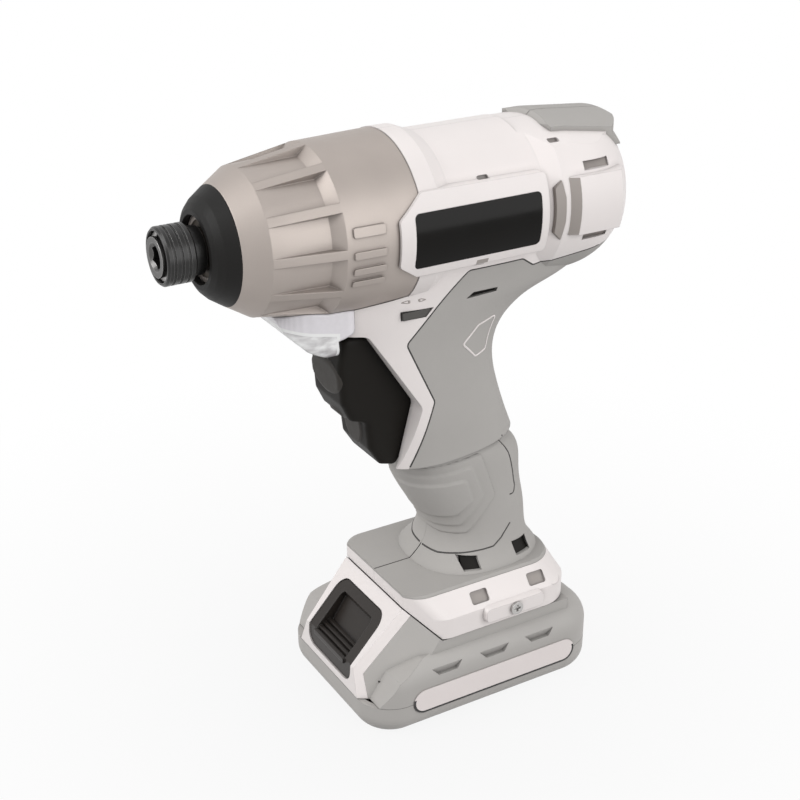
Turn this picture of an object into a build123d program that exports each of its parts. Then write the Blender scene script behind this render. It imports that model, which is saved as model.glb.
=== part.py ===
from build123d import *

import math
import os

# A cordless impact driver with its battery pack, built from separate pieces, in millimetres.
# Frame: +X towards the nose, +Y to the tool's left, +Z up, with the table at z = 0.

os.makedirs("parts", exist_ok=True)

# Clearances
running = 0.05  # radial, round a shaft that turns or slides in a bore
seat_gap = 0.1  # between pieces that are fixed to each other
slide_gap = 0.3  # between pieces that pass each other

# Drive axis over the table
axis_height = 172.0

# Barrel of the housing: places along X and radii about the drive axis
wall = 2.4
collar_front = 6.8
collar_back = 0.5
collar_radius = 27.25
barrel_start = -4.5
barrel_radius = 25.2
bulge_start = -38.0
bulge_full = -44.0
bulge_radius = 27.2
dome_start = -56.0
rear_end = -78.0
rear_flat_radius = 12.0
hood_back = -75.2
hood_floor = 180.0
hood_half_width = 18.0
hood_corner = 17.0
hood_step = 0.1

# Handle: squared ovals, each as height, front x, back x and half width
oval_power = 2.4
oval_points = 24
upper_handle = [
    (80.0, 6.5, -46.0, 17.6),
    (92.0, 11.0, -41.8, 17.8),
    (104.0, 15.5, -37.2, 17.8),
    (114.0, 19.5, -34.2, 17.6),
    (122.0, 22.8, -33.1, 17.4),
    (129.0, 25.5, -34.3, 17.4),
    (135.5, 27.5, -38.6, 17.6),
    (140.0, 29.0, -44.6, 18.0),
    (143.5, 30.0, -52.5, 18.4),
    (147.0, 30.6, -63.0, 18.9),
    (151.0, 31.0, -69.0, 19.6),
    (158.0, 31.0, -72.0, 21.6),
    (164.0, 31.0, -73.0, 22.8),
]
lower_handle = [
    (44.0, -2.5, -52.5, 23.0),
    (47.5, -6.5, -51.0, 20.5),
    (51.0, -9.6, -48.8, 18.6),
    (57.0, -11.4, -47.5, 17.3),
    (64.0, -9.8, -46.9, 17.0),
    (77.0, -2.6, -45.0, 17.0),
    (87.0, 1.8, -43.0, 17.0),
    (100.0, 6.0, -38.0, 17.0),
]
web_front = -50.0
ledge_front = (10.0, 88.5)
ledge_back = (-30.0, 92.5)

# Foot under the handle, with its chamfered front corners
foot_bottom = 30.5
foot_knee = 38.0
foot_top = 46.0
foot_front = 9.5
foot_back = -54.5
foot_top_back = -51.0
foot_half_width = 29.5
foot_top_half_width = 23.0
foot_nose_half_width = 19.3
foot_corner = 12.0
foot_lip_height = 41.0
foot_toe = -0.5
foot_toe_corner = 9.0

# Rubber grip skins, as a side outline from the ledge up and round the back
skin = 1.4
grip_seam_height = 45.0
grip_front = [
    (foot_front + 1.0, grip_seam_height),
    (foot_front + 1.0, 70.0),
    (4.0, 88.0),
    (-3.4, 113.5),
    (6.7, 135.0),
    (-13.0, 157.2),
    (-33.0, 157.2),
    (-38.0, 153.8),
    (-66.0, 157.3),
    (rear_end - 5.0, 158.5),
    (rear_end - 5.0, grip_seam_height),
]
grip_corner = 2.0
grip_windows = [
    [(-13.6, 147.0), (-16.1, 148.8), (-25.1, 148.7), (-24.8, 147.4)],
    [(-14.6, 51.4), (-21.0, 51.0), (-21.2, 46.8), (-15.4, 46.8)],
    [(-35.0, 52.4), (-42.4, 51.8), (-43.0, 47.2), (-36.0, 47.6)],
]
foot_recesses = [(-16.2, 6.8), (-39.4, 6.8)]
foot_recess_height = 41.3
foot_recess_width = 4.5
foot_recess_corner = 0.8
foot_recess_depth = 1.0

# Trigger opening, as a side outline that is open to the front
trigger_roof = 139.2
opening = [(45.0, trigger_roof), (18.6, trigger_roof), (0.8, 112.0), (7.4, 86.0), (45.0, 70.0)]
opening_corner = 3.0

# Side panels and rear plates on both sides of the barrel
panel_radius = 28.0
panel_front = 15.0
panel_back = -37.5
panel_corner = 1.5
panel_outline = [
    (panel_front, 179.0),
    (6.4, 186.0),
    (panel_back, 185.6),
    (panel_back, 160.6),
    (8.5, 160.6),
    (panel_front, 165.0),
]
label_radius = 27.8
label_corner = 1.6
label_depth = 0.8
label_front = 10.0
label_back = -34.8
label_half_height = 8.5
plate_front = -45.2
plate_face_front = -49.2
plate_back = -65.0
plate_bottom = 164.0
plate_top = 182.6
plate_radius = 29.0
plate_corner = 2.0
plate_fall = 4.5
plate_sink = 0.2
vent_front = -52.5
vent_back = -62.5
vent_height = 2.6
vent_heights = [184.8, 162.4]
insert_outline = [
    (-40.4, 180.0),
    (-43.2, 182.0),
    (-44.2, 177.0),
    (-44.2, 169.0),
    (-43.4, 163.0),
    (-40.4, 166.0),
]
insert_radius = 27.4
insert_depth = 1.8
crown_mark_radius = 26.4
pocket_marks = [
    (-17.0, 57.0, barrel_radius),
    (-16.0, 119.0, barrel_radius),
    (-45.4, 40.0, crown_mark_radius),
]
mark_length = 4.0
mark_width = 2.0
mark_depth = 0.9
pad_proud = 1.3
pad_depth = 0.9
pad_outline = [(-46.9, 1.2), (-46.2, 8.8), (-47.0, 13.3), (-68.0, 15.4), (rear_end - 2.0, 16.4)]
pad_ramp = 2.4
pad_floor = 187.0
crown_start = -36.0
crown_knee = -50.0
crown_rise = 24.2
crown_radius = 40.0
crown_slope = 5.3
hood_outline = [
    (bulge_full, hood_floor),
    (bulge_full, axis_height + bulge_radius),
    (-72.6, axis_height + bulge_radius),
    (-74.4, 191.6),
    (hood_back, 187.5),
    (hood_back, hood_floor),
]

# Hammer case
case_front = 60.9
case_front_radius = 18.0
cone_back = 53.5
cone_radius = 22.6
pocket_back = 32.0
pocket_rim_radius = 26.3
pocket_floor_back = 35.2
pocket_floor_radius = 23.3
pocket_edge_back = 30.6
pocket_edge_radius = 27.4
pocket_count = 12
case_rib_width = 2.9
case_rib_start = 0.0
drum_back = 12.0
case_radius = 27.0
skirt_end = 1.0
skirt_radius = 24.9
chamber_radius = 20.6
chamber_front = 47.5
ring_bore = 22.95
snout_front = 65.5
snout_radius = 10.2
bush_radius = 8.5
bar_front = 29.8
bar_back = 19.4
bar_places = [(178.0, 1.5), (171.2, 1.2), (166.1, 1.1), (162.0, 1.0)]
bar_front_radius = 27.0
bar_back_radius = 27.4

# Nose boot
boot_front = 67.6
boot_profile = [(64.8, 15.4), (66.6, 13.6), (boot_front, 11.8)]

# Anvil, with its hexagon socket and quick-change sleeve
anvil_front = 80.0
anvil_radius = 6.0
hex_across_flats = 6.45
mouth_radius = 0.66 * hex_across_flats  # wide end of the cone that leads a bit in
hex_depth = 24.0
ear_front = 46.5
ear_back = 39.5
ear_radius = 18.5
ear_width = 9.0
anvil_hub_radius = 9.5
sleeve_front = 79.3
sleeve_back = 66.8
sleeve_head_back = 70.3
sleeve_radius = 8.75
sleeve_neck_radius = 7.3
sleeve_shoulder = 72.2
sleeve_chamber_radius = 7.6
sleeve_rib_count = 3
sleeve_rib_depth = 0.45
sleeve_travel = 3.0
relief_depth = 0.55
relief_length = 1.5
ball_x = 70.0
bit_ball_radius = 1.5
bit_ball_orbit = 4.45
snap_ring_back = 77.5
snap_ring_thickness = 0.8
snap_ring_radius = 7.3
groove_radius = 5.5
sleeve_spring_wire = 0.25
sleeve_spring_turns = 3

# Hammer and cam spindle
hammer_front = 38.0
hammer_back = 22.0
hammer_radius = 20.0
hammer_travel = 7.0
spindle_radius = 7.0
pilot_radius = 3.1
pilot_front = 44.5
lug_length = 6.0
lug_inner_radius = 10.5
lug_outer_radius = 19.5
lug_width = 10.0
spring_pocket_floor = 32.0
spring_pocket_inner = 10.5
spring_pocket_outer = 17.6
cam_ball_radius = 2.3
cam_ball_x = 31.0
hammer_spring_wire = 1.3
hammer_spring_radius = 14.0
hammer_spring_turns = 4
spring_washer_thickness = 1.0
cam_swing = 4.5

# Planetary gears
module = 0.8
sun_teeth = 12
planet_teeth = 18
ring_teeth = sun_teeth + 2 * planet_teeth
planet_count = 3
pressure_angle = math.radians(25.0)
tooth_height = 0.72
tooth_root = 0.95
backlash = 0.14
flank_steps = 4
gear_back = 3.8
gear_front = 10.0
carrier_radius = 17.5
carrier_front_face = 13.5
carrier_gap = 0.5
carrier_back_face = 0.8
carrier_hub_radius = 8.0
carrier_bore = 6.3
carrier_hub_back = -3.2
column_orbit = 13.0
column_radius = 2.6
planet_pin_radius = 2.0
bearing_outer_radius = 14.0
gear_plate_back = -5.5
gear_plate_flange = 24.8
gear_plate_flange_back = -1.5
gear_plate_hub_radius = 16.5

# Motor
can_front = -5.8
can_back = -50.0
can_radius = 18.5
can_wall = 1.6
can_lid = 2.2
shaft_radius = 2.5
shaft_front = 9.6
shaft_back = -71.5
motor_bearing_radius = 6.0
motor_bearing_length = 3.5
core_front = -15.0
core_back = -38.0
core_radius = 11.3
core_slots = 5
core_slot_width = 2.2
slot_middle = 8.2
slot_depth = 3.6
winding_length = 3.5
winding_radius = 9.6
commutator_front = -42.5
commutator_back = -48.5
commutator_radius = 5.2
commutator_bars = 10
magnet_gap = 0.6
magnet_split = 6.0
brush_plate_thickness = 3.8
brush_front = -43.6
brush_length = 4.4
brush_half_height = 2.2
brush_outer = 12.5
holder_inner = 6.6
holder_outer = 15.5
holder_wall = 1.3
fan_front = -56.5
fan_back = -64.0
fan_radius = 17.0
fan_hub_radius = 5.0
fan_blades = 9
fan_disc = 1.4
blade_thickness = 1.2
rear_bearing_front = -66.5
rear_bearing_radius = 8.0
spoke_radius = 22.2
rib_thickness = 2.0
front_motor_rib = -18.0
rear_motor_rib = -44.0

# Light under the hammer case
lens_outline = [
    (16.9, 147.6),
    (23.3, 140.9),
    (28.8, 139.9),
    (28.2, 134.6),
    (31.0, 134.2),
    (39.0, 138.4),
    (44.2, 143.4),
    (46.8, 149.4),
    (46.8, 154.0),
    (16.9, 154.0),
]
lens_half_width = 13.8
lens_edge = 3.5
lens_corner = 11.0
lens_wall = 1.8
light_board_back = 30.2
light_board_front = 41.0
light_board_height = 143.6
light_board_thickness = 1.2
light_chip = 3.2
light_chip_height = 1.0
light_chip_x = 35.0
light_places = [-5.0, 5.0]

# Trigger and switch
trigger_outline = [
    (9.0, 138.0),
    (24.4, 138.0),
    (26.6, 128.0),
    (25.6, 115.5),
    (22.6, 109.2),
    (17.2, 107.4),
    (16.0, 97.5),
    (12.0, 91.2),
    (6.2, 89.6),
    (2.0, 97.0),
    (-1.5, 104.5),
    (-1.5, 119.5),
]
trigger_half_width = 9.8
trigger_corner = 2.2
trigger_edge = 1.8
trigger_travel = 6.0
trigger_slot_bottom = 88.6
trigger_spring_seat = 3.5
plunger_height = 112.0
plunger_radius = 3.0
plunger_length = 13.0
switch_front = -8.5
switch_back = -25.0
switch_bottom = 98.0
switch_top = 130.0
switch_half_width = 8.5
switch_ribs = [-23.0, -13.0]
switch_bore_depth = 14.0
trigger_spring_wire = 0.4
trigger_spring_radius = 4.2
trigger_spring_turns = 5

# Direction selector
selector_outline = [(8.8, 146.2), (8.6, 143.7), (0.5, 143.7), (-1.6, 146.2)]
selector_half_length = 17.9
selector_waist = 6.5
selector_head_inner = 13.0
selector_travel = 3.5
selector_gap = 0.2

# Screws
screw_places = [(-29.0, 60.0), (-28.0, 90.0), (-44.0, 146.0), (-46.5, 42.0)]
screw_radius = 1.5
screw_head_radius = 3.0
screw_head_depth = 2.4
boss_radius = 4.2
screw_reach = 9.0
head_seat = 12.0
hook_boss_front = -15.8
hook_boss_back = -40.5
hook_boss_bottom = 32.2
hook_boss_top = 38.6
hook_boss_corner = 2.2
hook_boss_root = 28.6
hook_boss_taper = 14.0
hook_boss_half_width = 31.4
hook_x = -28.2
hook_z = 35.6
hook_hole_radius = 2.0
hook_hole_depth = 8.0
hook_head_radius = 2.3
hook_head_height = 1.0

# Battery pack
battery_front = 28.0
battery_back = -64.0
battery_half_width = 33.0
battery_front_corner = 13.0
battery_back_corner = 14.0
battery_split = 11.7
battery_wall = 2.2
tray_edge = 7.0
tray_inner_edge = 4.5
shoulder_height = 28.0
front_kink = (27.4, 21.5)
front_crest = (9.8, 40.7)
facet_normal = (0.487, 0.804, 0.34)
neck_top = 30.1
wedge_root = -0.35
neck_half_width = 29.0
neck_back = -52.0
arch = [(24.4, battery_split), (18.0, 21.0), (8.0, 25.8), (-4.0, shoulder_height)]
shoulder_edge = 10.0
strip_front = 13.3
strip_back = -52.5
strip_height = 9.0
strip_proud = 0.3
strip_depth = 1.2
dimple_centres = [-0.4, -19.4, -38.0]
dimple_length = 12.2
dimple_slant = 2.5
dimple_bottom = 20.0
dimple_top = 22.6
dimple_depth = 1.7
dimple_lean = 1.0
panel_strip = [(28.5, 11.8), front_kink, front_crest, (7.6, 38.6), (24.7, 19.8), (24.8, 11.8)]
button_half_width = 14.6
button_bottom = 14.6
button_top = 36.6
button_outline = [
    (13.3, 36.6),
    (27.0, 21.6),
    (27.4, 14.6),
    (19.0, 14.6),
    (19.0, 20.0),
    (12.8, 31.0),
    (11.4, 36.6),
]
button_corner = 4.0
button_flange_half_width = 16.8
button_flange_front = 24.2
button_flange_top = 19.4
button_gap = 0.35
button_travel = 2.5
button_pocket_back = 15.9
scoop_half_width = 10.4
scoop_bottom = 20.2
scoop_top = 34.0
scoop_corner = 2.5
scoop_outline = [
    (30.0, scoop_top),
    (16.0, scoop_top),
    (14.8, 31.4),
    (20.2, 23.4),
    (28.5, scoop_bottom),
    (30.0, scoop_bottom),
]
scoop_ribs = 4
scoop_rib_width = 1.4
scoop_rib_height = 0.9
latch_spring_radius = 2.2
latch_spring_wire = 0.35
latch_spring_turns = 5
latch_spring_z = 18.2
latch_spring_front = 23.0
rail_half_width = 20.0
rail_neck_half_width = 17.0
rail_top = 37.0
rail_head_bottom = 33.9
rail_back = -34.0
rail_front = -3.0
channel_back = -47.0
rail_gap = 0.4
rail_lift = 0.2
cell_radius = 9.1
cell_length = 65.0
cell_front = 13.0
cell_pitch = 19.2
cell_height = 11.6
cell_room_top = 21.2
cell_room_front = 13.7
board_room_half_width = 26.0
board_room_front = 2.0
board_room_back = -51.0
strap_thickness = 0.4
strap_half_height = 4.0
board_top = 27.3
board_thickness = 1.6
board_front = -6.0
board_back = -48.0
board_half_width = 20.0
blade_places = [-10.0, 0.0, 10.0]
blade_half_thickness = 0.4
blade_bottom = 34.4
blade_top = 36.4
blade_reach = 9.0
blade_slot = 1.2
terminal_block_front = -36.0
terminal_half_width = 16.0
contact_thickness = 0.5
battery_screw_top = 16.5
battery_screw_seat = 2.6
battery_screws_radius = 1.4
battery_screw_head = 2.6
battery_boss_radius = 3.4
battery_screw_places = [(19.5, 22.0), (19.5, -22.0), (-57.5, 22.0), (-57.5, -22.0)]

drive_axis = Axis((0, 0, axis_height), (1, 0, 0))
turning_plane = Plane(origin=(0, 0, axis_height), x_dir=(1, 0, 0), z_dir=(0, -1, 0))


def across(x):
    """The plane square to the drive axis at x, with +Y to its right and +Z up."""
    return Plane(origin=(x, 0, axis_height), x_dir=(0, 1, 0), z_dir=(1, 0, 0))


def turned(*profile):
    """A solid turned about the drive axis from (x, radius) corners."""
    with BuildPart() as body:
        with BuildSketch(turning_plane):
            with BuildLine():
                Polyline(*profile, close=True)
            make_face()
        revolve(axis=drive_axis)
    return body.part


def tube(back, front, outer, inner=0.0):
    """A plain tube or rod about the drive axis."""
    return turned((back, inner), (front, inner), (front, outer), (back, outer))


def side_slab(outline, half_width, corner=0.0, grow=0.0):
    """A side outline of (x, z) corners, extruded to both sides of the middle plane."""
    with BuildPart() as slab:
        with BuildSketch(Plane.XZ) as face:
            with BuildLine():
                Polyline(*outline, close=True)
            make_face()
            if corner:
                fillet(face.vertices(), corner)
            if grow:
                offset(amount=grow, kind=Kind.INTERSECTION)
        extrude(amount=half_width, both=True)
    return slab.part


def block(low, high):
    """A box between two opposite corners."""
    middle = [(a + b) / 2 for a, b in zip(low, high)]
    with BuildPart() as box:
        with Locations(tuple(middle)):
            Box(high[0] - low[0], high[1] - low[1], high[2] - low[2])
    return box.part


def side_pin(x, z, start, end, radius):
    """A round bar along Y at a place of the side view."""
    with BuildPart() as pin:
        with BuildSketch(Plane(origin=(x, start, z), x_dir=(1, 0, 0), z_dir=(0, 1, 0))):
            Circle(radius)
        extrude(amount=end - start)
    return pin.part


def rod(back, front, y, z, radius):
    """A round bar along X."""
    with BuildPart() as bar:
        with BuildSketch(Plane(origin=(back, y, z), x_dir=(0, 1, 0), z_dir=(1, 0, 0))):
            Circle(radius)
        extrude(amount=front - back)
    return bar.part


def upright(x, y, bottom, top, radius):
    """A round bar along Z."""
    with BuildPart() as bar:
        with BuildSketch(Plane(origin=(x, y, bottom))):
            Circle(radius)
        extrude(amount=top - bottom)
    return bar.part


def coil(back, front, radius, wire, turns, z=axis_height):
    """A helical spring about an axis along X."""
    rise = front - back - 2 * wire
    with BuildPart() as spring:
        with BuildLine() as path:
            Helix(rise / turns, rise, radius, center=(back + wire, 0, z), direction=(1, 0, 0))
        with BuildSketch(Plane(origin=path.line @ 0, z_dir=path.line % 0)):
            Circle(wire)
        sweep()
    return spring.part


def gear_points(teeth, tip, root, thinning, turn, centre=(0.0, 0.0)):
    """The corners of a gear outline with involute flanks, round its centre."""
    pitch_radius = module * teeth / 2
    base_radius = pitch_radius * math.cos(pressure_angle)
    half_tooth = math.pi / (2 * teeth) - thinning / (2 * pitch_radius)
    start = max(base_radius, root)
    points = []
    for tooth in range(teeth):
        middle = turn + 2 * math.pi * tooth / teeth
        flank = []
        for step in range(flank_steps + 1):
            radius = start + (tip - start) * step / flank_steps
            roll = math.acos(min(1.0, base_radius / radius))
            swing = half_tooth + math.tan(pressure_angle) - pressure_angle - math.tan(roll) + roll
            flank.append((radius, swing))
        if root < start:
            flank.insert(0, (root, flank[0][1]))
        for radius, swing in flank:
            points.append((radius, middle - swing))
        for radius, swing in reversed(flank):
            points.append((radius, middle + swing))
    return [(centre[0] + r * math.cos(a), centre[1] + r * math.sin(a)) for r, a in points]


def gear_blank(points, back, front):
    """A gear outline extruded along the drive axis."""
    with BuildPart() as gear:
        with BuildSketch(across(back)):
            with BuildLine():
                Polyline(*points, close=True)
            make_face()
        extrude(amount=front - back)
    return gear.part


def squared_oval(front, back, half_width):
    """Points of an oval with squared sides, round its middle."""
    middle = (front + back) / 2
    reach = (front - back) / 2
    points = []
    for step in range(oval_points):
        angle = 2 * math.pi * step / oval_points
        along = math.copysign(abs(math.cos(angle)) ** (2 / oval_power), math.cos(angle))
        aside = math.copysign(abs(math.sin(angle)) ** (2 / oval_power), math.sin(angle))
        points.append((middle + reach * along, half_width * aside))
    return points


def handle_form(sections, inset):
    """The handle's form between its ovals, drawn in by an inset."""
    with BuildPart() as form:
        for height, front, back, half_width in sections:
            with BuildSketch(Plane.XY.offset(height)):
                with BuildLine():
                    Spline(*squared_oval(front - inset, back + inset, half_width - inset), periodic=True)
                make_face()
        loft()
    return form.part


def barrel_form(inset):
    """The barrel's turned form, drawn in by an inset."""
    with BuildPart() as form:
        with BuildSketch(turning_plane):
            with BuildLine():
                Polyline(
                    (rear_end + inset, rear_flat_radius),
                    (rear_end + inset, 0),
                    (collar_front, 0),
                    (collar_front, collar_radius - inset),
                    (collar_back, collar_radius - inset),
                    (barrel_start, barrel_radius - inset),
                    (bulge_start, barrel_radius - inset),
                    (bulge_full, bulge_radius - inset),
                    (dome_start, bulge_radius - inset),
                )
                TangentArc(
                    (dome_start, bulge_radius - inset),
                    (rear_end + inset, rear_flat_radius),
                    tangent=(-1, 0),
                )
            make_face()
        revolve(axis=drive_axis)
    return form.part


def foot_form(inset):
    """The foot's form, with its top drawn in by an inset."""
    levels = [
        (foot_bottom, foot_back, foot_half_width, foot_toe),
        (foot_knee, foot_back, foot_half_width, foot_toe),
        (
            foot_top - inset,
            foot_top_back + inset,
            foot_top_half_width - inset,
            foot_front - (foot_top_half_width - foot_nose_half_width),
        ),
    ]
    with BuildPart() as form:
        for height, back, half_width, chamfer_x in levels:
            with BuildSketch(Plane.XY.offset(height)) as plan:
                with BuildLine():
                    Polyline(
                        (foot_front, -foot_nose_half_width),
                        (foot_front, foot_nose_half_width),
                        (chamfer_x, half_width),
                        (back, half_width),
                        (back, -half_width),
                        (chamfer_x, -half_width),
                        close=True,
                    )
                make_face()
                fillet(plan.vertices().group_by(Axis.X)[0], foot_corner - inset)
                fillet(plan.vertices().group_by(Axis.X)[-2], foot_toe_corner)
        loft(ruled=True)
        # The battery's nose rises under the front of the foot
        add(
            side_slab(
                [
                    (foot_toe, foot_bottom - 1),
                    (foot_toe, foot_bottom),
                    (foot_front + 1, foot_lip_height + 1),
                    (foot_front + 1, foot_bottom - 1),
                ],
                foot_half_width + 1,
            ),
            mode=Mode.SUBTRACT,
        )
    return form.part


def above_ledge(lift):
    """Everything above the step that ends the upper handle."""
    high = axis_height
    return side_slab(
        [
            (ledge_front[0] + 40, ledge_front[1] - 4 + lift),
            (ledge_front[0], ledge_front[1] + lift),
            (ledge_back[0], ledge_back[1] + lift),
            (ledge_back[0] - 60, ledge_back[1] + 6 + lift),
            (ledge_back[0] - 60, high),
            (ledge_front[0] + 40, high),
        ],
        battery_half_width,
    )


def hood_form(grow):
    """The squared top of the barrel's rear, under the bumper, grown by an amount."""
    back = hood_back - grow
    front = bulge_full + 2 * hood_corner
    with BuildPart() as hood:
        add(rod(rear_end - 1, bulge_full, 0, axis_height, bulge_radius - hood_step + grow))
        add(side_slab(hood_outline, hood_half_width + 1, grow=grow), mode=Mode.INTERSECT)
        with BuildSketch(Plane.XY.offset(hood_floor - 1)):
            with Locations(((back + front) / 2, 0)):
                RectangleRounded(front - back, 2 * (hood_half_width + grow), hood_corner + grow)
        extrude(amount=bulge_radius, mode=Mode.INTERSECT)
    return hood.part


def crown_cuts(grow):
    """What lies over the arched crown of the barrel's rear, and over its fall, lifted by an amount."""
    low = axis_height + crown_rise - crown_radius
    tilt = math.radians(crown_slope)
    top = axis_height + 2 * bulge_radius
    with BuildPart() as level:
        add(block((rear_end - 5, -battery_half_width, axis_height), (crown_start, battery_half_width, top)))
        add(rod(rear_end - 6, crown_start + 1, 0, low, crown_radius + grow), mode=Mode.SUBTRACT)
    with BuildPart() as fall:
        add(block((rear_end - 5, -battery_half_width, axis_height), (crown_knee, battery_half_width, top)))
        middle = Plane(
            origin=(crown_knee, 0, low),
            x_dir=(0, 1, 0),
            z_dir=(-math.cos(tilt), 0, -math.sin(tilt)),
        )
        with BuildSketch(middle):
            Circle(crown_radius + grow)
        extrude(amount=crown_knee - rear_end + 10, both=True, mode=Mode.SUBTRACT)
    return [level.part, fall.part]


def body_form(inset):
    """The whole closed body: barrel, handle and foot, drawn in by an inset."""
    with BuildPart() as upper:
        add(handle_form(upper_handle, inset))
        add(above_ledge(inset), mode=Mode.INTERSECT)
    with BuildPart() as body:
        add(barrel_form(inset))
        add(hood_form(-inset))
        add(upper.part)
        add(handle_form(lower_handle, inset))
        add(foot_form(inset))
    return body.part


body_outside = body_form(0)
body_core = body_form(skin)

# Space that the hammer case takes, used to clear the housing and the lens round it
case_space = turned(
    (skirt_end, 0),
    (snout_front, 0),
    (snout_front, case_front_radius),
    (case_front + seat_gap, case_front_radius + seat_gap),
    (cone_back, cone_radius + seat_gap),
    (pocket_back, pocket_rim_radius + seat_gap),
    (drum_back, case_radius + seat_gap),
    (collar_front, case_radius + seat_gap),
    (collar_front, skirt_radius + seat_gap),
    (gear_plate_flange_back - seat_gap, skirt_radius + seat_gap),
    (gear_plate_flange_back - seat_gap, 0),
)

trigger_slot = block(
    (switch_front, -trigger_half_width - slide_gap, trigger_slot_bottom),
    (opening[0][0], trigger_half_width + slide_gap, trigger_roof),
)

with BuildPart() as grip_skins:
    add(body_outside)
    add(body_core, mode=Mode.SUBTRACT)
    add(side_slab(grip_front, battery_half_width, grip_corner), mode=Mode.INTERSECT)
    add(side_slab(opening, battery_half_width, opening_corner), mode=Mode.SUBTRACT)
    add(trigger_slot, mode=Mode.SUBTRACT)

with BuildPart() as window_cuts:
    for window in grip_windows:
        add(side_slab(window, battery_half_width))


# Rear bumper: a thin shell over the arched crown of the barrel's rear, with a ramp at its front
with BuildPart() as pad_bed:
    add(barrel_form(pad_depth))
    add(hood_form(-pad_depth))
    for cut in crown_cuts(-pad_depth):
        add(cut, mode=Mode.SUBTRACT)

with BuildPart() as pads:
    add(barrel_form(-pad_proud))
    add(hood_form(pad_proud))
    for cut in crown_cuts(pad_proud):
        add(cut, mode=Mode.SUBTRACT)
    add(pad_bed.part, mode=Mode.SUBTRACT)
    with BuildSketch(Plane.XY.offset(pad_floor)):
        with BuildLine():
            Polyline(*pad_outline, *[(x, -y) for x, y in reversed(pad_outline)], close=True)
        make_face()
    extrude(amount=axis_height - pad_floor + 2 * bulge_radius, mode=Mode.INTERSECT)
    add(
        side_slab(
            [
                (pad_outline[1][0], axis_height),
                (pad_outline[1][0], axis_height + crown_rise - pad_depth),
                (pad_outline[1][0] - pad_ramp, axis_height + crown_rise + pad_proud),
                (rear_end - 5, axis_height + crown_rise + pad_proud + 1),
                (rear_end - 5, axis_height),
            ],
            battery_half_width,
        ),
        mode=Mode.INTERSECT,
    )

with BuildPart() as labels:
    add(tube(label_back, label_front, label_radius, label_radius - label_depth))
    with BuildSketch(Plane.XZ):
        with Locations(((label_front + label_back) / 2, axis_height)):
            RectangleRounded(label_front - label_back, 2 * label_half_height, label_corner)
    extrude(amount=battery_half_width, both=True, mode=Mode.INTERSECT)

with BuildPart() as label_recess:
    add(tube(label_back, label_front, 2 * panel_radius, label_radius - label_depth))
    with BuildSketch(Plane.XZ):
        with Locations(((label_front + label_back) / 2, axis_height)):
            RectangleRounded(label_front - label_back, 2 * label_half_height, label_corner)
    extrude(amount=battery_half_width, both=True, mode=Mode.INTERSECT)

with BuildPart() as inserts:
    add(tube(bulge_full - 1, bulge_start, insert_radius, insert_radius - insert_depth))
    add(side_slab(insert_outline, battery_half_width), mode=Mode.INTERSECT)

def lens_plan(end_inset, side_inset):
    """The light cover's rounded plan, drawn in at its ends and its sides, as an upright prism."""
    back = lens_outline[0][0] + end_inset
    front = lens_outline[7][0] - end_inset
    with BuildPart() as prism:
        with BuildSketch(Plane.XY.offset(lens_outline[4][1] - 1)):
            with Locations(((back + front) / 2, 0)):
                RectangleRounded(front - back, 2 * (lens_half_width - side_inset), lens_corner - end_inset)
        extrude(amount=axis_height - lens_outline[4][1])
    return prism.part


with BuildPart() as lens_space:
    add(side_slab(lens_outline, lens_half_width))
    add(lens_plan(0, 0), mode=Mode.INTERSECT)
    with BuildSketch(across(lens_outline[0][0] - 1)):
        with Locations((0, (lens_outline[4][1] - axis_height) / 2)):
            RectangleRounded(2 * lens_half_width, axis_height - lens_outline[4][1], lens_edge)
    extrude(amount=lens_outline[7][0] - lens_outline[0][0] + 2, mode=Mode.INTERSECT)

# Room inside the housing for the motor, the switch and the wiring
with BuildPart() as cavity:
    add(handle_form(upper_handle, skin + wall))
    add(above_ledge(skin + wall), mode=Mode.INTERSECT)
    add(handle_form(lower_handle, skin + wall))
    add(side_slab(opening, battery_half_width, grow=wall), mode=Mode.SUBTRACT)
    add(
        block((rear_end, -battery_half_width, 0), (web_front, battery_half_width, axis_height)),
        mode=Mode.SUBTRACT,
    )
    add(barrel_form(wall))
    for cut in crown_cuts(-wall):
        add(cut, mode=Mode.SUBTRACT)

# Ribs, seats and screw bosses inside the housing
with BuildPart() as ribs:
    add(tube(front_motor_rib - rib_thickness, front_motor_rib, barrel_radius - 0.6, can_radius + seat_gap))
    add(tube(rear_motor_rib - rib_thickness, rear_motor_rib, bulge_radius - 1.2, can_radius + seat_gap))
    add(tube(shaft_back, rear_bearing_front, rear_bearing_radius + wall, rear_bearing_radius + running))
    with BuildSketch(across(shaft_back)):
        with PolarLocations((rear_bearing_radius + wall + spoke_radius) / 2, 4, start_angle=45):
            Rectangle(spoke_radius - rear_bearing_radius, rib_thickness)
    extrude(amount=rear_bearing_front - shaft_back)
    for side in (1, -1):
        for x in switch_ribs:
            add(
                block(
                    (
                        x,
                        min(side * (switch_half_width + seat_gap), side * upper_handle[4][3]),
                        switch_bottom + 4,
                    ),
                    (
                        x + rib_thickness,
                        max(side * (switch_half_width + seat_gap), side * upper_handle[4][3]),
                        switch_top - 4,
                    ),
                )
            )
    for x, z in screw_places:
        add(side_pin(x, z, -foot_half_width, foot_half_width, boss_radius))
    add(body_core, mode=Mode.INTERSECT)

with BuildPart() as panels:
    add(tube(panel_back, panel_front, panel_radius, barrel_radius - wall))
    add(side_slab(panel_outline, battery_half_width, panel_corner), mode=Mode.INTERSECT)

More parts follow.
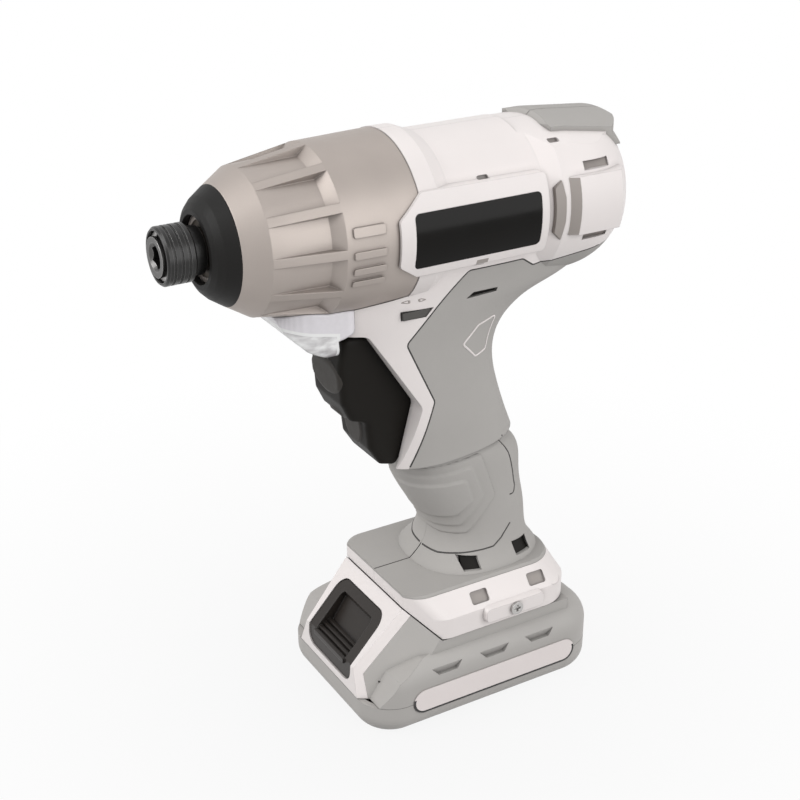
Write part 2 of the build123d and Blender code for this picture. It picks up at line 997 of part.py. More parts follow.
# Raised plates at the rear, with a long slope in front
with BuildPart() as plates:
    add(
        turned(
            (plate_front, plate_radius - plate_fall),
            (plate_front, bulge_radius - plate_sink),
            (plate_face_front, plate_radius),
            (plate_back, plate_radius),
            (plate_back - plate_fall, plate_radius - plate_fall),
        )
    )
    add(
        side_slab(
            [
                (plate_front, plate_bottom),
                (plate_front, plate_top),
                (plate_back - plate_fall, plate_top),
                (plate_back - plate_fall, plate_bottom),
            ],
            battery_half_width,
            plate_corner,
        ),
        mode=Mode.INTERSECT,
    )
    add(barrel_form(wall), mode=Mode.SUBTRACT)

with BuildPart() as housing:
    add(body_outside)
    add(panels.part)
    add(plates.part)
    # Lugs round the screw holes in the sides of the foot
    for side in (1, -1):
        lug_middle = ((hook_boss_front + hook_boss_back) / 2, -side * (hook_boss_top + hook_boss_bottom) / 2)
        with BuildSketch(Plane(origin=(0, side * hook_boss_root, 0), x_dir=(1, 0, 0), z_dir=(0, side, 0))):
            with Locations(lug_middle):
                RectangleRounded(
                    hook_boss_front - hook_boss_back,
                    hook_boss_top - hook_boss_bottom,
                    hook_boss_corner,
                )
        extrude(amount=hook_boss_half_width - hook_boss_root, taper=hook_boss_taper)
    add(grip_skins.part, mode=Mode.SUBTRACT)
    add(cavity.part, mode=Mode.SUBTRACT)
    add(ribs.part)
    for cut in crown_cuts(0):
        add(cut, mode=Mode.SUBTRACT)
    add(case_space, mode=Mode.SUBTRACT)
    add(lens_space.part, mode=Mode.SUBTRACT)
    add(pads.part, mode=Mode.SUBTRACT)
    add(label_recess.part, mode=Mode.SUBTRACT)
    add(inserts.part, mode=Mode.SUBTRACT)
    add(side_slab(opening, battery_half_width, opening_corner), mode=Mode.SUBTRACT)
    # Slot for the trigger and through slot for the direction selector
    add(trigger_slot, mode=Mode.SUBTRACT)
    add(side_slab(selector_outline, battery_half_width, grow=selector_gap), mode=Mode.SUBTRACT)
    # Air slots over and under the rear plates
    for z in vent_heights:
        add(
            block(
                (vent_back, -battery_half_width, z - vent_height / 2),
                (vent_front, battery_half_width, z + vent_height / 2),
            ),
            mode=Mode.SUBTRACT,
        )
    # Small moulded pockets
    for x, angle, radius in pocket_marks:
        for side in (1, -1):
            swing = math.radians(side * angle)
            outward = (0, math.sin(swing), math.cos(swing))
            spot = (x, radius * math.sin(swing), axis_height + radius * math.cos(swing))
            with BuildSketch(Plane(origin=spot, x_dir=(1, 0, 0), z_dir=outward)):
                RectangleRounded(mark_length, mark_width, mark_width / 3)
            extrude(amount=mark_depth, both=True, mode=Mode.SUBTRACT)
    # Pockets in the slanted band of the foot
    foot_slope = (foot_half_width - foot_top_half_width) / (foot_top - foot_knee)
    recess_y = foot_half_width - foot_slope * (foot_recess_height - foot_knee)
    for x, length in foot_recesses:
        for side in (1, -1):
            spot = (x, side * recess_y, foot_recess_height)
            with BuildSketch(Plane(origin=spot, x_dir=(1, 0, 0), z_dir=(0, side, foot_slope))):
                RectangleRounded(length, foot_recess_width, foot_recess_corner)
            extrude(amount=foot_recess_depth, both=True, mode=Mode.SUBTRACT)
    # Screw holes with their counterbores in the right half
    for x, z in screw_places:
        add(side_pin(x, z, -head_seat, screw_reach, screw_radius + running), mode=Mode.SUBTRACT)
        add(
            side_pin(x, z, -battery_half_width, -head_seat, screw_head_radius + seat_gap),
            mode=Mode.SUBTRACT,
        )
    # Channel for the battery's rail, open to the front
    add(
        block(
            (channel_back, -rail_half_width - rail_gap, rail_head_bottom - rail_lift),
            (foot_front + 1, rail_half_width + rail_gap, rail_top + rail_gap),
        ),
        mode=Mode.SUBTRACT,
    )
    add(
        block(
            (channel_back, -rail_neck_half_width - rail_gap, foot_bottom - 1),
            (foot_front + 1, rail_neck_half_width + rail_gap, rail_head_bottom),
        ),
        mode=Mode.SUBTRACT,
    )
    # Holes in the side bosses: the left one carries a screw, the right one is free for a belt hook
    for side in (1, -1):
        add(
            side_pin(
                hook_x,
                hook_z,
                min(side * hook_boss_half_width, side * (hook_boss_half_width - hook_hole_depth)),
                max(side * hook_boss_half_width, side * (hook_boss_half_width - hook_hole_depth)),
                hook_hole_radius,
            ),
            mode=Mode.SUBTRACT,
        )

with BuildPart() as housing_left:
    add(housing.part)
    split(bisect_by=Plane.XZ, keep=Keep.BOTTOM)
housing_left.part.label = "housing_left"
export_step(housing_left.part, "parts/housing_left.step")

with BuildPart() as housing_right:
    add(housing.part)
    split(bisect_by=Plane.XZ, keep=Keep.TOP)
housing_right.part.label = "housing_right"
export_step(housing_right.part, "parts/housing_right.step")

with BuildPart() as grip_left:
    add(grip_skins.part)
    add(window_cuts.part, mode=Mode.SUBTRACT)
    add(side_slab(selector_outline, battery_half_width, grow=selector_gap), mode=Mode.SUBTRACT)
    split(bisect_by=Plane.XZ, keep=Keep.BOTTOM)
grip_left.part.label = "grip_left"
export_step(grip_left.part, "parts/grip_left.step")

with BuildPart() as grip_right:
    add(grip_skins.part)
    add(window_cuts.part, mode=Mode.SUBTRACT)
    add(side_slab(selector_outline, battery_half_width, grow=selector_gap), mode=Mode.SUBTRACT)
    for x, z in screw_places:
        add(
            side_pin(x, z, -battery_half_width, -head_seat, screw_head_radius + seat_gap),
            mode=Mode.SUBTRACT,
        )
    split(bisect_by=Plane.XZ, keep=Keep.TOP)
grip_right.part.label = "grip_right"
export_step(grip_right.part, "parts/grip_right.step")

with BuildPart() as rear_bumpers:
    add(pads.part)
    add(
        block((rear_end - 5, -seat_gap, pad_floor), (bulge_start, seat_gap, 2 * axis_height)),
        mode=Mode.SUBTRACT,
    )
rear_bumpers.part.label = "rear_bumpers"
export_step(rear_bumpers.part, "parts/rear_bumpers.step")

with BuildPart() as side_panels:
    add(labels.part)
side_panels.part.label = "side_panels"
export_step(side_panels.part, "parts/side_panels.step")

with BuildPart() as vent_inserts:
    add(inserts.part)
vent_inserts.part.label = "vent_inserts"
export_step(vent_inserts.part, "parts/vent_inserts.step")

with BuildPart() as housing_screws:
    for x, z in screw_places:
        add(side_pin(x, z, -head_seat, screw_reach - 1, screw_radius))
        add(side_pin(x, z, -head_seat - screw_head_depth, -head_seat, screw_head_radius))
        with BuildSketch(Plane(origin=(x, -head_seat - screw_head_depth, z), z_dir=(0, 1, 0))):
            RegularPolygon(screw_radius, 6)
        extrude(amount=screw_head_depth / 2, mode=Mode.SUBTRACT)
housing_screws.part.label = "housing_screws"
export_step(housing_screws.part, "parts/housing_screws.step")

with BuildPart() as boss_screw:
    add(
        side_pin(
            hook_x,
            hook_z,
            hook_boss_half_width - hook_hole_depth + 0.5,
            hook_boss_half_width,
            hook_hole_radius - running,
        )
    )
    head_top = hook_boss_half_width + hook_head_height
    add(side_pin(hook_x, hook_z, hook_boss_half_width, head_top, hook_head_radius))
    with BuildSketch(Plane(origin=(hook_x, head_top, hook_z), x_dir=(1, 0, 0), z_dir=(0, -1, 0))):
        Rectangle(2.6, 0.8)
        Rectangle(0.8, 2.6)
    extrude(amount=hook_head_height - 0.2, mode=Mode.SUBTRACT)
boss_screw.part.label = "boss_screw"
export_step(boss_screw.part, "parts/boss_screw.step")

with BuildPart() as lens_hollow:
    add(
        side_slab(
            [
                (lens_outline[3][0] + lens_wall, lens_outline[3][1] + 1.6 * lens_wall),
                (lens_outline[5][0] - 0.3 * lens_wall, lens_outline[5][1] + lens_wall),
                (lens_outline[6][0] - lens_wall, lens_outline[6][1] + 0.6 * lens_wall),
                (lens_outline[7][0] - lens_wall, lens_outline[7][1]),
                (lens_outline[7][0] - lens_wall, axis_height),
                (lens_outline[3][0] + lens_wall, axis_height),
            ],
            lens_half_width - lens_edge,
        )
    )
    add(lens_plan(lens_wall, lens_edge), mode=Mode.INTERSECT)

with BuildPart() as light_lens:
    add(lens_space.part)
    add(case_space, mode=Mode.SUBTRACT)
    add(lens_hollow.part, mode=Mode.SUBTRACT)
light_lens.part.label = "light_lens"
export_step(light_lens.part, "parts/light_lens.step")

with BuildPart() as light_board:
    add(
        block(
            (light_board_back, -lens_half_width, light_board_height),
            (light_board_front, lens_half_width, light_board_height + light_board_thickness),
        )
    )
    add(lens_plan(lens_wall + seat_gap, lens_edge + seat_gap), mode=Mode.INTERSECT)
    for y in light_places:
        add(
            block(
                (light_chip_x - light_chip / 2, y - light_chip / 2, light_board_height - light_chip_height),
                (light_chip_x + light_chip / 2, y + light_chip / 2, light_board_height),
            )
        )
light_board.part.label = "light_board"
export_step(light_board.part, "parts/light_board.step")

with BuildPart() as case_pockets:
    add(
        turned(
            (pocket_floor_back, pocket_floor_radius),
            (cone_back + 1, cone_radius - 0.1),
            (cone_back + 1, pocket_edge_radius),
            (pocket_edge_back, pocket_edge_radius),
        )
    )
    with BuildSketch(across(pocket_edge_back - 1)):
        with PolarLocations(cone_radius + 2, pocket_count, start_angle=case_rib_start):
            Rectangle(12, case_rib_width)
    extrude(amount=cone_back - pocket_edge_back + 3, mode=Mode.SUBTRACT)

with BuildPart() as case_bars:
    add(
        turned(
            (bar_back, chamber_radius + 1),
            (bar_front, chamber_radius + 1),
            (bar_front, bar_front_radius),
            (bar_back, bar_back_radius),
        )
    )
    with BuildSketch(Plane.XZ):
        for bar_z, half_height in bar_places:
            with Locations(((bar_front + bar_back) / 2, bar_z)):
                RectangleRounded(bar_front - bar_back, 2 * half_height, half_height * 0.5)
    extrude(amount=battery_half_width, both=True, mode=Mode.INTERSECT)

with BuildPart() as hammer_case:
    add(
        turned(
            (snout_front, bush_radius),
            (snout_front, snout_radius),
            (case_front, snout_radius),
            (case_front, case_front_radius),
            (cone_back, cone_radius),
            (pocket_back, pocket_rim_radius),
            (drum_back, case_radius - 0.1),
            (collar_front + seat_gap, case_radius),
            (collar_front + seat_gap, skirt_radius),
            (skirt_end, skirt_radius),
            (skirt_end, ring_bore),
            (drum_back, ring_bore),
            (drum_back, chamber_radius),
            (chamber_front, chamber_radius),
            (chamber_front, bush_radius),
        )
    )
    add(case_pockets, mode=Mode.SUBTRACT)
    add(case_bars)
hammer_case.part.label = "hammer_case"
export_step(hammer_case.part, "parts/hammer_case.step")

with BuildPart() as nose_boot:
    add(
        turned(
            (case_front, snout_radius + seat_gap),
            (case_front, case_front_radius),
            *boot_profile,
            (boot_front, snout_radius + seat_gap),
        )
    )
nose_boot.part.label = "nose_boot"
export_step(nose_boot.part, "parts/nose_boot.step")

with BuildPart() as anvil_bush:
    add(tube(chamber_front + 0.5, snout_front - 0.2, bush_radius, anvil_radius + running))
anvil_bush.part.label = "anvil_bush"
export_step(anvil_bush.part, "parts/anvil_bush.step")

with BuildPart() as thrust_washer:
    add(tube(ear_front + running, chamber_front, anvil_hub_radius + 3.5, anvil_radius + running))
thrust_washer.part.label = "thrust_washer"
export_step(thrust_washer.part, "parts/thrust_washer.step")

with BuildPart() as anvil:
    add(tube(ear_back, anvil_front, anvil_radius))
    add(tube(ear_back, ear_front, anvil_hub_radius))
    with BuildSketch(across(ear_back)):
        Circle(ear_radius)
        Rectangle(ear_width, 3 * ear_radius, mode=Mode.INTERSECT)
    extrude(amount=ear_front - ear_back)
    with BuildSketch(across(anvil_front)):
        RegularPolygon(hex_across_flats / 2, 6, major_radius=False, rotation=30)
    extrude(amount=-hex_depth, mode=Mode.SUBTRACT)
    add(
        turned((anvil_front, 0), (anvil_front, mouth_radius), (anvil_front - mouth_radius, 0)),
        mode=Mode.SUBTRACT,
    )
    add(
        tube(snap_ring_back, snap_ring_back + snap_ring_thickness, anvil_radius + 1, groove_radius),
        mode=Mode.SUBTRACT,
    )
    add(
        side_pin(ball_x, axis_height, -anvil_radius - 1, anvil_radius + 1, bit_ball_radius + running),
        mode=Mode.SUBTRACT,
    )
    add(tube(ear_back - 1, pilot_front + 0.5, pilot_radius + running), mode=Mode.SUBTRACT)
anvil.part.label = "anvil"
export_step(anvil.part, "parts/anvil.step")

with BuildPart() as bit_balls:
    with Locations((ball_x, bit_ball_orbit, axis_height), (ball_x, -bit_ball_orbit, axis_height)):
        Sphere(bit_ball_radius)
bit_balls.part.label = "bit_balls"
export_step(bit_balls.part, "parts/bit_balls.step")

with BuildPart() as collet_sleeve:
    add(
        turned(
            (sleeve_back, anvil_radius + running + relief_depth),
            (sleeve_back, sleeve_neck_radius),
            (sleeve_head_back, sleeve_neck_radius),
            (sleeve_head_back, sleeve_radius - 0.6),
            (sleeve_head_back + 0.6, sleeve_radius),
            (sleeve_front - 0.7, sleeve_radius),
            (sleeve_front, sleeve_radius - 0.6),
            (sleeve_front, sleeve_chamber_radius),
            (sleeve_shoulder, sleeve_chamber_radius),
            (sleeve_shoulder, anvil_radius + running),
            (sleeve_back + relief_length, anvil_radius + running),
            (sleeve_back + relief_length, anvil_radius + running + relief_depth),
        )
    )
    for number in range(sleeve_rib_count):
        middle = sleeve_head_back + (sleeve_front - sleeve_head_back) * (number + 1) / (sleeve_rib_count + 1)
        add(
            tube(middle - 0.4, middle + 0.4, sleeve_radius + 1, sleeve_radius - sleeve_rib_depth),
            mode=Mode.SUBTRACT,
        )
collet_sleeve.part.label = "collet_sleeve"
export_step(collet_sleeve.part, "parts/collet_sleeve.step")

with BuildPart() as collet_spring:
    add(
        coil(
            sleeve_shoulder,
            snap_ring_back,
            (anvil_radius + sleeve_chamber_radius) / 2,
            sleeve_spring_wire,
            sleeve_spring_turns,
        )
    )
collet_spring.part.label = "collet_spring"
export_step(collet_spring.part, "parts/collet_spring.step")

with BuildPart() as snap_ring:
    add(
        tube(
            snap_ring_back + running,
            snap_ring_back + snap_ring_thickness - running,
            snap_ring_radius,
            groove_radius + running,
        )
    )
    add(
        block(
            (snap_ring_back - 1, -1.5, axis_height),
            (snap_ring_back + 2, 1.5, axis_height + anvil_radius + 3),
        ),
        mode=Mode.SUBTRACT,
    )
snap_ring.part.label = "snap_ring"
export_step(snap_ring.part, "parts/snap_ring.step")

with BuildPart() as hammer:
    add(tube(hammer_back, hammer_front, hammer_radius, spindle_radius + running))
    with BuildSketch(across(hammer_front)):
        Circle(lug_outer_radius)
        Circle(lug_inner_radius, mode=Mode.SUBTRACT)
        Rectangle(3 * lug_outer_radius, lug_width, mode=Mode.INTERSECT)
    extrude(amount=lug_length)
    add(
        tube(hammer_back - 1, spring_pocket_floor, spring_pocket_outer, spring_pocket_inner),
        mode=Mode.SUBTRACT,
    )
    for side in (1, -1):
        ball_z = axis_height + side * spindle_radius
        add(rod(cam_ball_x, hammer_front + 1, 0, ball_z, cam_ball_radius + running), mode=Mode.SUBTRACT)
        with Locations((cam_ball_x, 0, ball_z)):
            Sphere(cam_ball_radius + running, mode=Mode.SUBTRACT)
hammer.part.label = "hammer"
export_step(hammer.part, "parts/hammer.step")

with BuildPart() as hammer_spring:
    add(
        coil(
            carrier_front_face + spring_washer_thickness,
            spring_pocket_floor,
            hammer_spring_radius,
            hammer_spring_wire,
            hammer_spring_turns,
        )
    )
hammer_spring.part.label = "hammer_spring"
export_step(hammer_spring.part, "parts/hammer_spring.step")

with BuildPart() as spring_washer:
    add(
        tube(
            carrier_front_face,
            carrier_front_face + spring_washer_thickness,
            spring_pocket_outer,
            spindle_radius + running,
        )
    )
spring_washer.part.label = "spring_washer"
export_step(spring_washer.part, "parts/spring_washer.step")

with BuildPart() as cam_balls:
    with Locations(
        (cam_ball_x, 0, axis_height + spindle_radius),
        (cam_ball_x, 0, axis_height - spindle_radius),
    ):
        Sphere(cam_ball_radius)
cam_balls.part.label = "cam_balls"
export_step(cam_balls.part, "parts/cam_balls.step")

planet_orbit = module * (sun_teeth + planet_teeth) / 2
planet_spots = [
    (
        planet_orbit * math.cos(2 * math.pi * number / planet_count),
        planet_orbit * math.sin(2 * math.pi * number / planet_count),
        2 * math.pi * number / planet_count,
    )
    for number in range(planet_count)
]

with BuildPart() as cam_spindle:
    add(tube(gear_front + carrier_gap, carrier_front_face, carrier_radius))
    add(tube(carrier_front_face, hammer_front, spindle_radius))
    add(tube(hammer_front, pilot_front, pilot_radius))
    add(tube(carrier_back_face, gear_back - carrier_gap, carrier_radius, carrier_bore))
    add(tube(carrier_hub_back, carrier_back_face, carrier_hub_radius, carrier_bore))
    with BuildSketch(across(carrier_back_face)):
        with PolarLocations(column_orbit, planet_count, start_angle=180 / planet_count):
            Circle(column_radius)
    extrude(amount=carrier_front_face - carrier_back_face)
    for y, z, angle in planet_spots:
        add(
            rod(carrier_back_face - 1, carrier_front_face, y, axis_height + z, planet_pin_radius + running),
            mode=Mode.SUBTRACT,
        )
    # Cam grooves that part to both sides behind each ball
    for side in (1, -1):
        seat = (cam_ball_x, 0, axis_height + side * spindle_radius)
        for lean in (1, -1):
            with BuildSketch(Plane(origin=seat, z_dir=(-hammer_travel, lean * cam_swing, 0))):
                Circle(cam_ball_radius + running)
            extrude(amount=math.hypot(hammer_travel, cam_swing), mode=Mode.SUBTRACT)
        with Locations(seat):
            Sphere(cam_ball_radius + running, mode=Mode.SUBTRACT)
cam_spindle.part.label = "cam_spindle"
export_step(cam_spindle.part, "parts/cam_spindle.step")

with BuildPart() as planet_pins:
    for y, z, angle in planet_spots:
        add(rod(carrier_back_face, carrier_front_face, y, axis_height + z, planet_pin_radius))
planet_pins.part.label = "planet_pins"
export_step(planet_pins.part, "parts/planet_pins.step")


def planet_gear(number):
    """One planet gear, turned so that its gaps face the sun and the ring."""
    y, z, angle = planet_spots[number]
    pitch_radius = module * planet_teeth / 2
    outline = gear_points(
        planet_teeth,
        pitch_radius + tooth_height,
        pitch_radius - tooth_root,
        backlash / 2,
        angle + math.pi / planet_teeth,
        (y, z),
    )
    with BuildPart() as gear:
        add(gear_blank(outline, gear_back, gear_front))
        add(
            rod(gear_back - 1, gear_front + 1, y, axis_height + z, planet_pin_radius + running),
            mode=Mode.SUBTRACT,
        )
    return gear.part


with BuildPart() as planet_gear_1:
    add(planet_gear(0))
planet_gear_1.part.label = "planet_gear_1"
export_step(planet_gear_1.part, "parts/planet_gear_1.step")

with BuildPart() as planet_gear_2:
    add(planet_gear(1))
planet_gear_2.part.label = "planet_gear_2"
export_step(planet_gear_2.part, "parts/planet_gear_2.step")

with BuildPart() as planet_gear_3:
    add(planet_gear(2))
planet_gear_3.part.label = "planet_gear_3"
export_step(planet_gear_3.part, "parts/planet_gear_3.step")

with BuildPart() as ring_gear:
    add(tube(skirt_end + seat_gap, drum_back - seat_gap, ring_bore - running))
    add(
        gear_blank(
            gear_points(
                ring_teeth,
                module * ring_teeth / 2 + tooth_root,
                module * ring_teeth / 2 - tooth_height,
                -backlash / 2,
                math.pi / ring_teeth,
            ),
            skirt_end,
            drum_back,
        ),
        mode=Mode.SUBTRACT,
    )
ring_gear.part.label = "ring_gear"
export_step(ring_gear.part, "parts/ring_gear.step")

with BuildPart() as gear_plate:
    add(
        turned(
            (gear_plate_back, carrier_bore),
            (gear_plate_back, gear_plate_hub_radius),
            (gear_plate_flange_back, gear_plate_hub_radius),
            (gear_plate_flange_back, gear_plate_flange),
            (carrier_back_face - seat_gap, gear_plate_flange),
            (carrier_back_face - seat_gap, bearing_outer_radius),
            (carrier_hub_back - seat_gap, bearing_outer_radius),
            (carrier_hub_back - seat_gap, carrier_bore),
        )
    )
gear_plate.part.label = "gear_plate"
export_step(gear_plate.part, "parts/gear_plate.step")

with BuildPart() as spindle_bearing:
    add(
        tube(
            carrier_hub_back,
            carrier_back_face - 2 * seat_gap,
            bearing_outer_radius,
            carrier_hub_radius + running,
        )
    )
spindle_bearing.part.label = "spindle_bearing"
export_step(spindle_bearing.part, "parts/spindle_bearing.step")

with BuildPart() as pinion:
    add(
        gear_blank(
            gear_points(
                sun_teeth,
                module * sun_teeth / 2 + tooth_height,
                module * sun_teeth / 2 - tooth_root,
                backlash / 2,
                0.0,
            ),
            gear_back - 0.2,
            gear_front,
        )
    )
    add(tube(gear_back - 1, gear_front + 1, shaft_radius), mode=Mode.SUBTRACT)
pinion.part.label = "pinion"
export_step(pinion.part, "parts/pinion.step")

with BuildPart() as motor_shaft:
    add(tube(shaft_back, shaft_front, shaft_radius))
motor_shaft.part.label = "motor_shaft"
export_step(motor_shaft.part, "parts/motor_shaft.step")

with BuildPart() as motor_can:
    add(
        turned(
            (can_front, motor_bearing_radius),
            (can_front, can_radius),
            (can_back, can_radius),
            (can_back, can_radius - can_wall),
            (can_front - can_lid, can_radius - can_wall),
            (can_front - can_lid, motor_bearing_radius + can_wall),
            (can_front - motor_bearing_length - 0.5, motor_bearing_radius + can_wall),
            (can_front - motor_bearing_length - 0.5, motor_bearing_radius),
        )
    )
motor_can.part.label = "motor_can"
export_step(motor_can.part, "parts/motor_can.step")

with BuildPart() as motor_magnets:
    add(
        tube(
            core_back - winding_length / 2,
            core_front + winding_length / 2,
            can_radius - can_wall,
            core_radius + magnet_gap,
        )
    )
    add(
        block(
            (core_back - 5, -can_radius, axis_height - magnet_split),
            (core_front + 5, can_radius, axis_height + magnet_split),
        ),
        mode=Mode.SUBTRACT,
    )
motor_magnets.part.label = "motor_magnets"
export_step(motor_magnets.part, "parts/motor_magnets.step")

with BuildPart() as motor_bearings:
    add(
        tube(
            can_front - motor_bearing_length,
            can_front - 0.2,
            motor_bearing_radius,
            shaft_radius + running,
        )
    )
    add(
        tube(
            shaft_back + 0.5,
            rear_bearing_front - seat_gap,
            rear_bearing_radius,
            shaft_radius + running,
        )
    )
motor_bearings.part.label = "motor_bearings"
export_step(motor_bearings.part, "parts/motor_bearings.step")

with BuildPart() as armature_core:
    add(tube(core_back, core_front, core_radius, shaft_radius))
    with BuildSketch(across(core_back)):
        with PolarLocations(slot_middle, core_slots, start_angle=90):
            Rectangle(slot_depth, core_slot_width * 1.6)
        with PolarLocations(core_radius, core_slots, start_angle=90):
            Rectangle(core_radius / 2, core_slot_width / 2)
    extrude(amount=core_front - core_back, mode=Mode.SUBTRACT)
armature_core.part.label = "armature_core"
export_step(armature_core.part, "parts/armature_core.step")

with BuildPart() as armature_windings:
    add(tube(core_front + running, core_front + winding_length, winding_radius, shaft_radius + 0.6))
    add(tube(core_back - winding_length, core_back - running, winding_radius, shaft_radius + 0.6))
    with BuildSketch(across(core_back - 1)):
        with PolarLocations(slot_middle, core_slots, start_angle=90):
            Rectangle(slot_depth - 0.2, core_slot_width * 1.6 - 0.2)
    extrude(amount=core_front - core_back + 2)
armature_windings.part.label = "armature_windings"
export_step(armature_windings.part, "parts/armature_windings.step")

with BuildPart() as commutator:
    add(tube(commutator_back, commutator_front, commutator_radius, shaft_radius))
    with BuildSketch(across(commutator_back)):
        with PolarLocations(commutator_radius, commutator_bars):
            Rectangle(1.2, 0.4)
    extrude(amount=commutator_front - commutator_back, mode=Mode.SUBTRACT)
commutator.part.label = "commutator"
export_step(commutator.part, "parts/commutator.step")

with BuildPart() as brush_plate:
    add(
        tube(
            can_back - seat_gap - brush_plate_thickness,
            can_back - seat_gap,
            can_radius,
            commutator_radius + 1,
        )
    )
    for side in (1, -1):
        add(
            block(
                (
                    can_back - seat_gap - 0.5,
                    min(side * holder_inner, side * holder_outer),
                    axis_height - brush_half_height - holder_wall,
                ),
                (
                    brush_front + holder_wall,
                    max(side * holder_inner, side * holder_outer),
                    axis_height + brush_half_height + holder_wall,
                ),
            )
        )
    add(
        block(
            (
                brush_front - brush_length - running,
                -brush_outer - 1,
                axis_height - brush_half_height - running,
            ),
            (brush_front + running, brush_outer + 1, axis_height + brush_half_height + running),
        ),
        mode=Mode.SUBTRACT,
    )
brush_plate.part.label = "brush_plate"
export_step(brush_plate.part, "parts/brush_plate.step")

with BuildPart() as brushes:
    for side in (1, -1):
        add(
            block(
                (
                    brush_front - brush_length,
                    min(side * (commutator_radius + running), side * brush_outer),
                    axis_height - brush_half_height,
                ),
                (
                    brush_front,
                    max(side * (commutator_radius + running), side * brush_outer),
                    axis_height + brush_half_height,
                ),
            )
        )
brushes.part.label = "brushes"
export_step(brushes.part, "parts/brushes.step")

with BuildPart() as cooling_fan:
    add(tube(fan_back, fan_front, fan_hub_radius, shaft_radius))
    add(tube(fan_front - fan_disc, fan_front, fan_radius, shaft_radius))
    with BuildSketch(across(fan_back)):
        with PolarLocations((fan_hub_radius + fan_radius) / 2 - 0.3, fan_blades):
            Rectangle(fan_radius - fan_hub_radius, blade_thickness, rotation=12)
    extrude(amount=fan_front - fan_disc / 2 - fan_back)
cooling_fan.part.label = "cooling_fan"
export_step(cooling_fan.part, "parts/cooling_fan.step")

with BuildPart() as trigger:
    add(side_slab(trigger_outline, trigger_half_width, trigger_corner))
    fillet(
        trigger.faces().sort_by(Axis.Y)[0].edges() + trigger.faces().sort_by(Axis.Y)[-1].edges(),
        trigger_edge,
    )
    add(
        rod(
            trigger_outline[-1][0] - 1,
            trigger_spring_seat,
            0,
            plunger_height,
            trigger_spring_radius + trigger_spring_wire + slide_gap,
        ),
        mode=Mode.SUBTRACT,
    )
    add(
        rod(
            trigger_outline[-1][0] - plunger_length,
            trigger_spring_seat + 1,
            0,
            plunger_height,
            plunger_radius,
        )
    )
trigger.part.label = "trigger"
export_step(trigger.part, "parts/trigger.step")

with BuildPart() as switch_module:
    add(
        block(
            (switch_back, -switch_half_width, switch_bottom),
            (switch_front, switch_half_width, switch_top),
        )
    )
    add(
        rod(switch_front - switch_bore_depth, switch_front + 1, 0, plunger_height, plunger_radius + running),
        mode=Mode.SUBTRACT,
    )
switch_module.part.label = "switch_module"
export_step(switch_module.part, "parts/switch_module.step")

with BuildPart() as trigger_spring:
    add(
        coil(
            switch_front,
            trigger_spring_seat,
            trigger_spring_radius,
            trigger_spring_wire,
            trigger_spring_turns,
            z=plunger_height,
        )
    )
trigger_spring.part.label = "trigger_spring"
export_step(trigger_spring.part, "parts/trigger_spring.step")

with BuildPart() as direction_selector:
    add(side_slab(selector_outline, selector_half_length, 0.4))
    add(
        block(
            (selector_waist, -selector_head_inner, selector_outline[1][1] - 1),
            (selector_outline[0][0] + 1, selector_head_inner, selector_outline[0][1] + 1),
        ),
        mode=Mode.SUBTRACT,
    )
direction_selector.part.label = "direction_selector"
export_step(direction_selector.part, "parts/direction_selector.step")

with BuildPart() as terminal_block:
    add(
        block(
            (channel_back + seat_gap, -terminal_half_width, rail_head_bottom),
            (terminal_block_front, terminal_half_width, rail_top + rail_gap - seat_gap),
        )
    )
    for y in blade_places:
        add(
            block(
                (
                    terminal_block_front - blade_reach + 1,
                    y - blade_half_thickness - running,
                    blade_bottom - running,
                ),
                (terminal_block_front + 1, y + blade_half_thickness + running, blade_top + running),
            ),
            mode=Mode.SUBTRACT,
        )
terminal_block.part.label = "terminal_block"
export_step(terminal_block.part, "parts/terminal_block.step")

with BuildPart() as terminal_blades:
    for y in blade_places:
        add(
            block(
                (terminal_block_front - blade_reach + 1 + running, y - blade_half_thickness, blade_bottom),
                (terminal_block_front + blade_reach, y + blade_half_thickness, blade_top),
            )
        )
terminal_blades.part.label = "terminal_blades"
export_step(terminal_blades.part, "parts/terminal_blades.step")


def battery_prism(inset, bottom, top):
    """The pack's rounded plan, drawn in by an inset, between two heights."""
    with BuildPart() as prism:
        with BuildSketch(Plane.XY.offset(bottom)) as plan:
            with Locations(((battery_front + battery_back) / 2, 0)):
                Rectangle(battery_front - battery_back - 2 * inset, 2 * (battery_half_width - inset))
            fillet(plan.vertices().group_by(Axis.X)[-1], battery_front_corner - inset)
            fillet(plan.vertices().group_by(Axis.X)[0], battery_back_corner - inset)
        extrude(amount=top - bottom)
    return prism.part


def rounded_mouth(half_width, low, high, corner, grow):
    """A bar along the tool whose section is a rectangle with round corners, grown by a gap."""
    with BuildPart() as bar:
        with BuildSketch(Plane.YZ):
            with Locations((0, (low + high) / 2)):
                RectangleRounded(2 * (half_width + grow), high - low + 2 * grow, corner + grow)
        extrude(amount=battery_front + 5)
    return bar.part


# Neck and nose of the pack, with the slanted faces at both sides of the nose
with BuildPart() as pack_nose:
    add(
        side_slab(
            [
                (battery_front, battery_split),
                front_kink,
                front_crest,
                (wedge_root, neck_top),
                (neck_back, neck_top),
                (neck_back, battery_split),
            ],
            neck_half_width,
        )
    )
    add(battery_prism(0, 0, 2 * foot_top), mode=Mode.INTERSECT)
    for side in (1, -1):
        facet = Plane(
            origin=(front_crest[0], side * foot_nose_half_width, front_crest[1]),
            z_dir=(facet_normal[0], side * facet_normal[1], facet_normal[2]),
        )
        with BuildSketch(facet):
            Rectangle(200, 200)
        extrude(amount=60, mode=Mode.SUBTRACT)

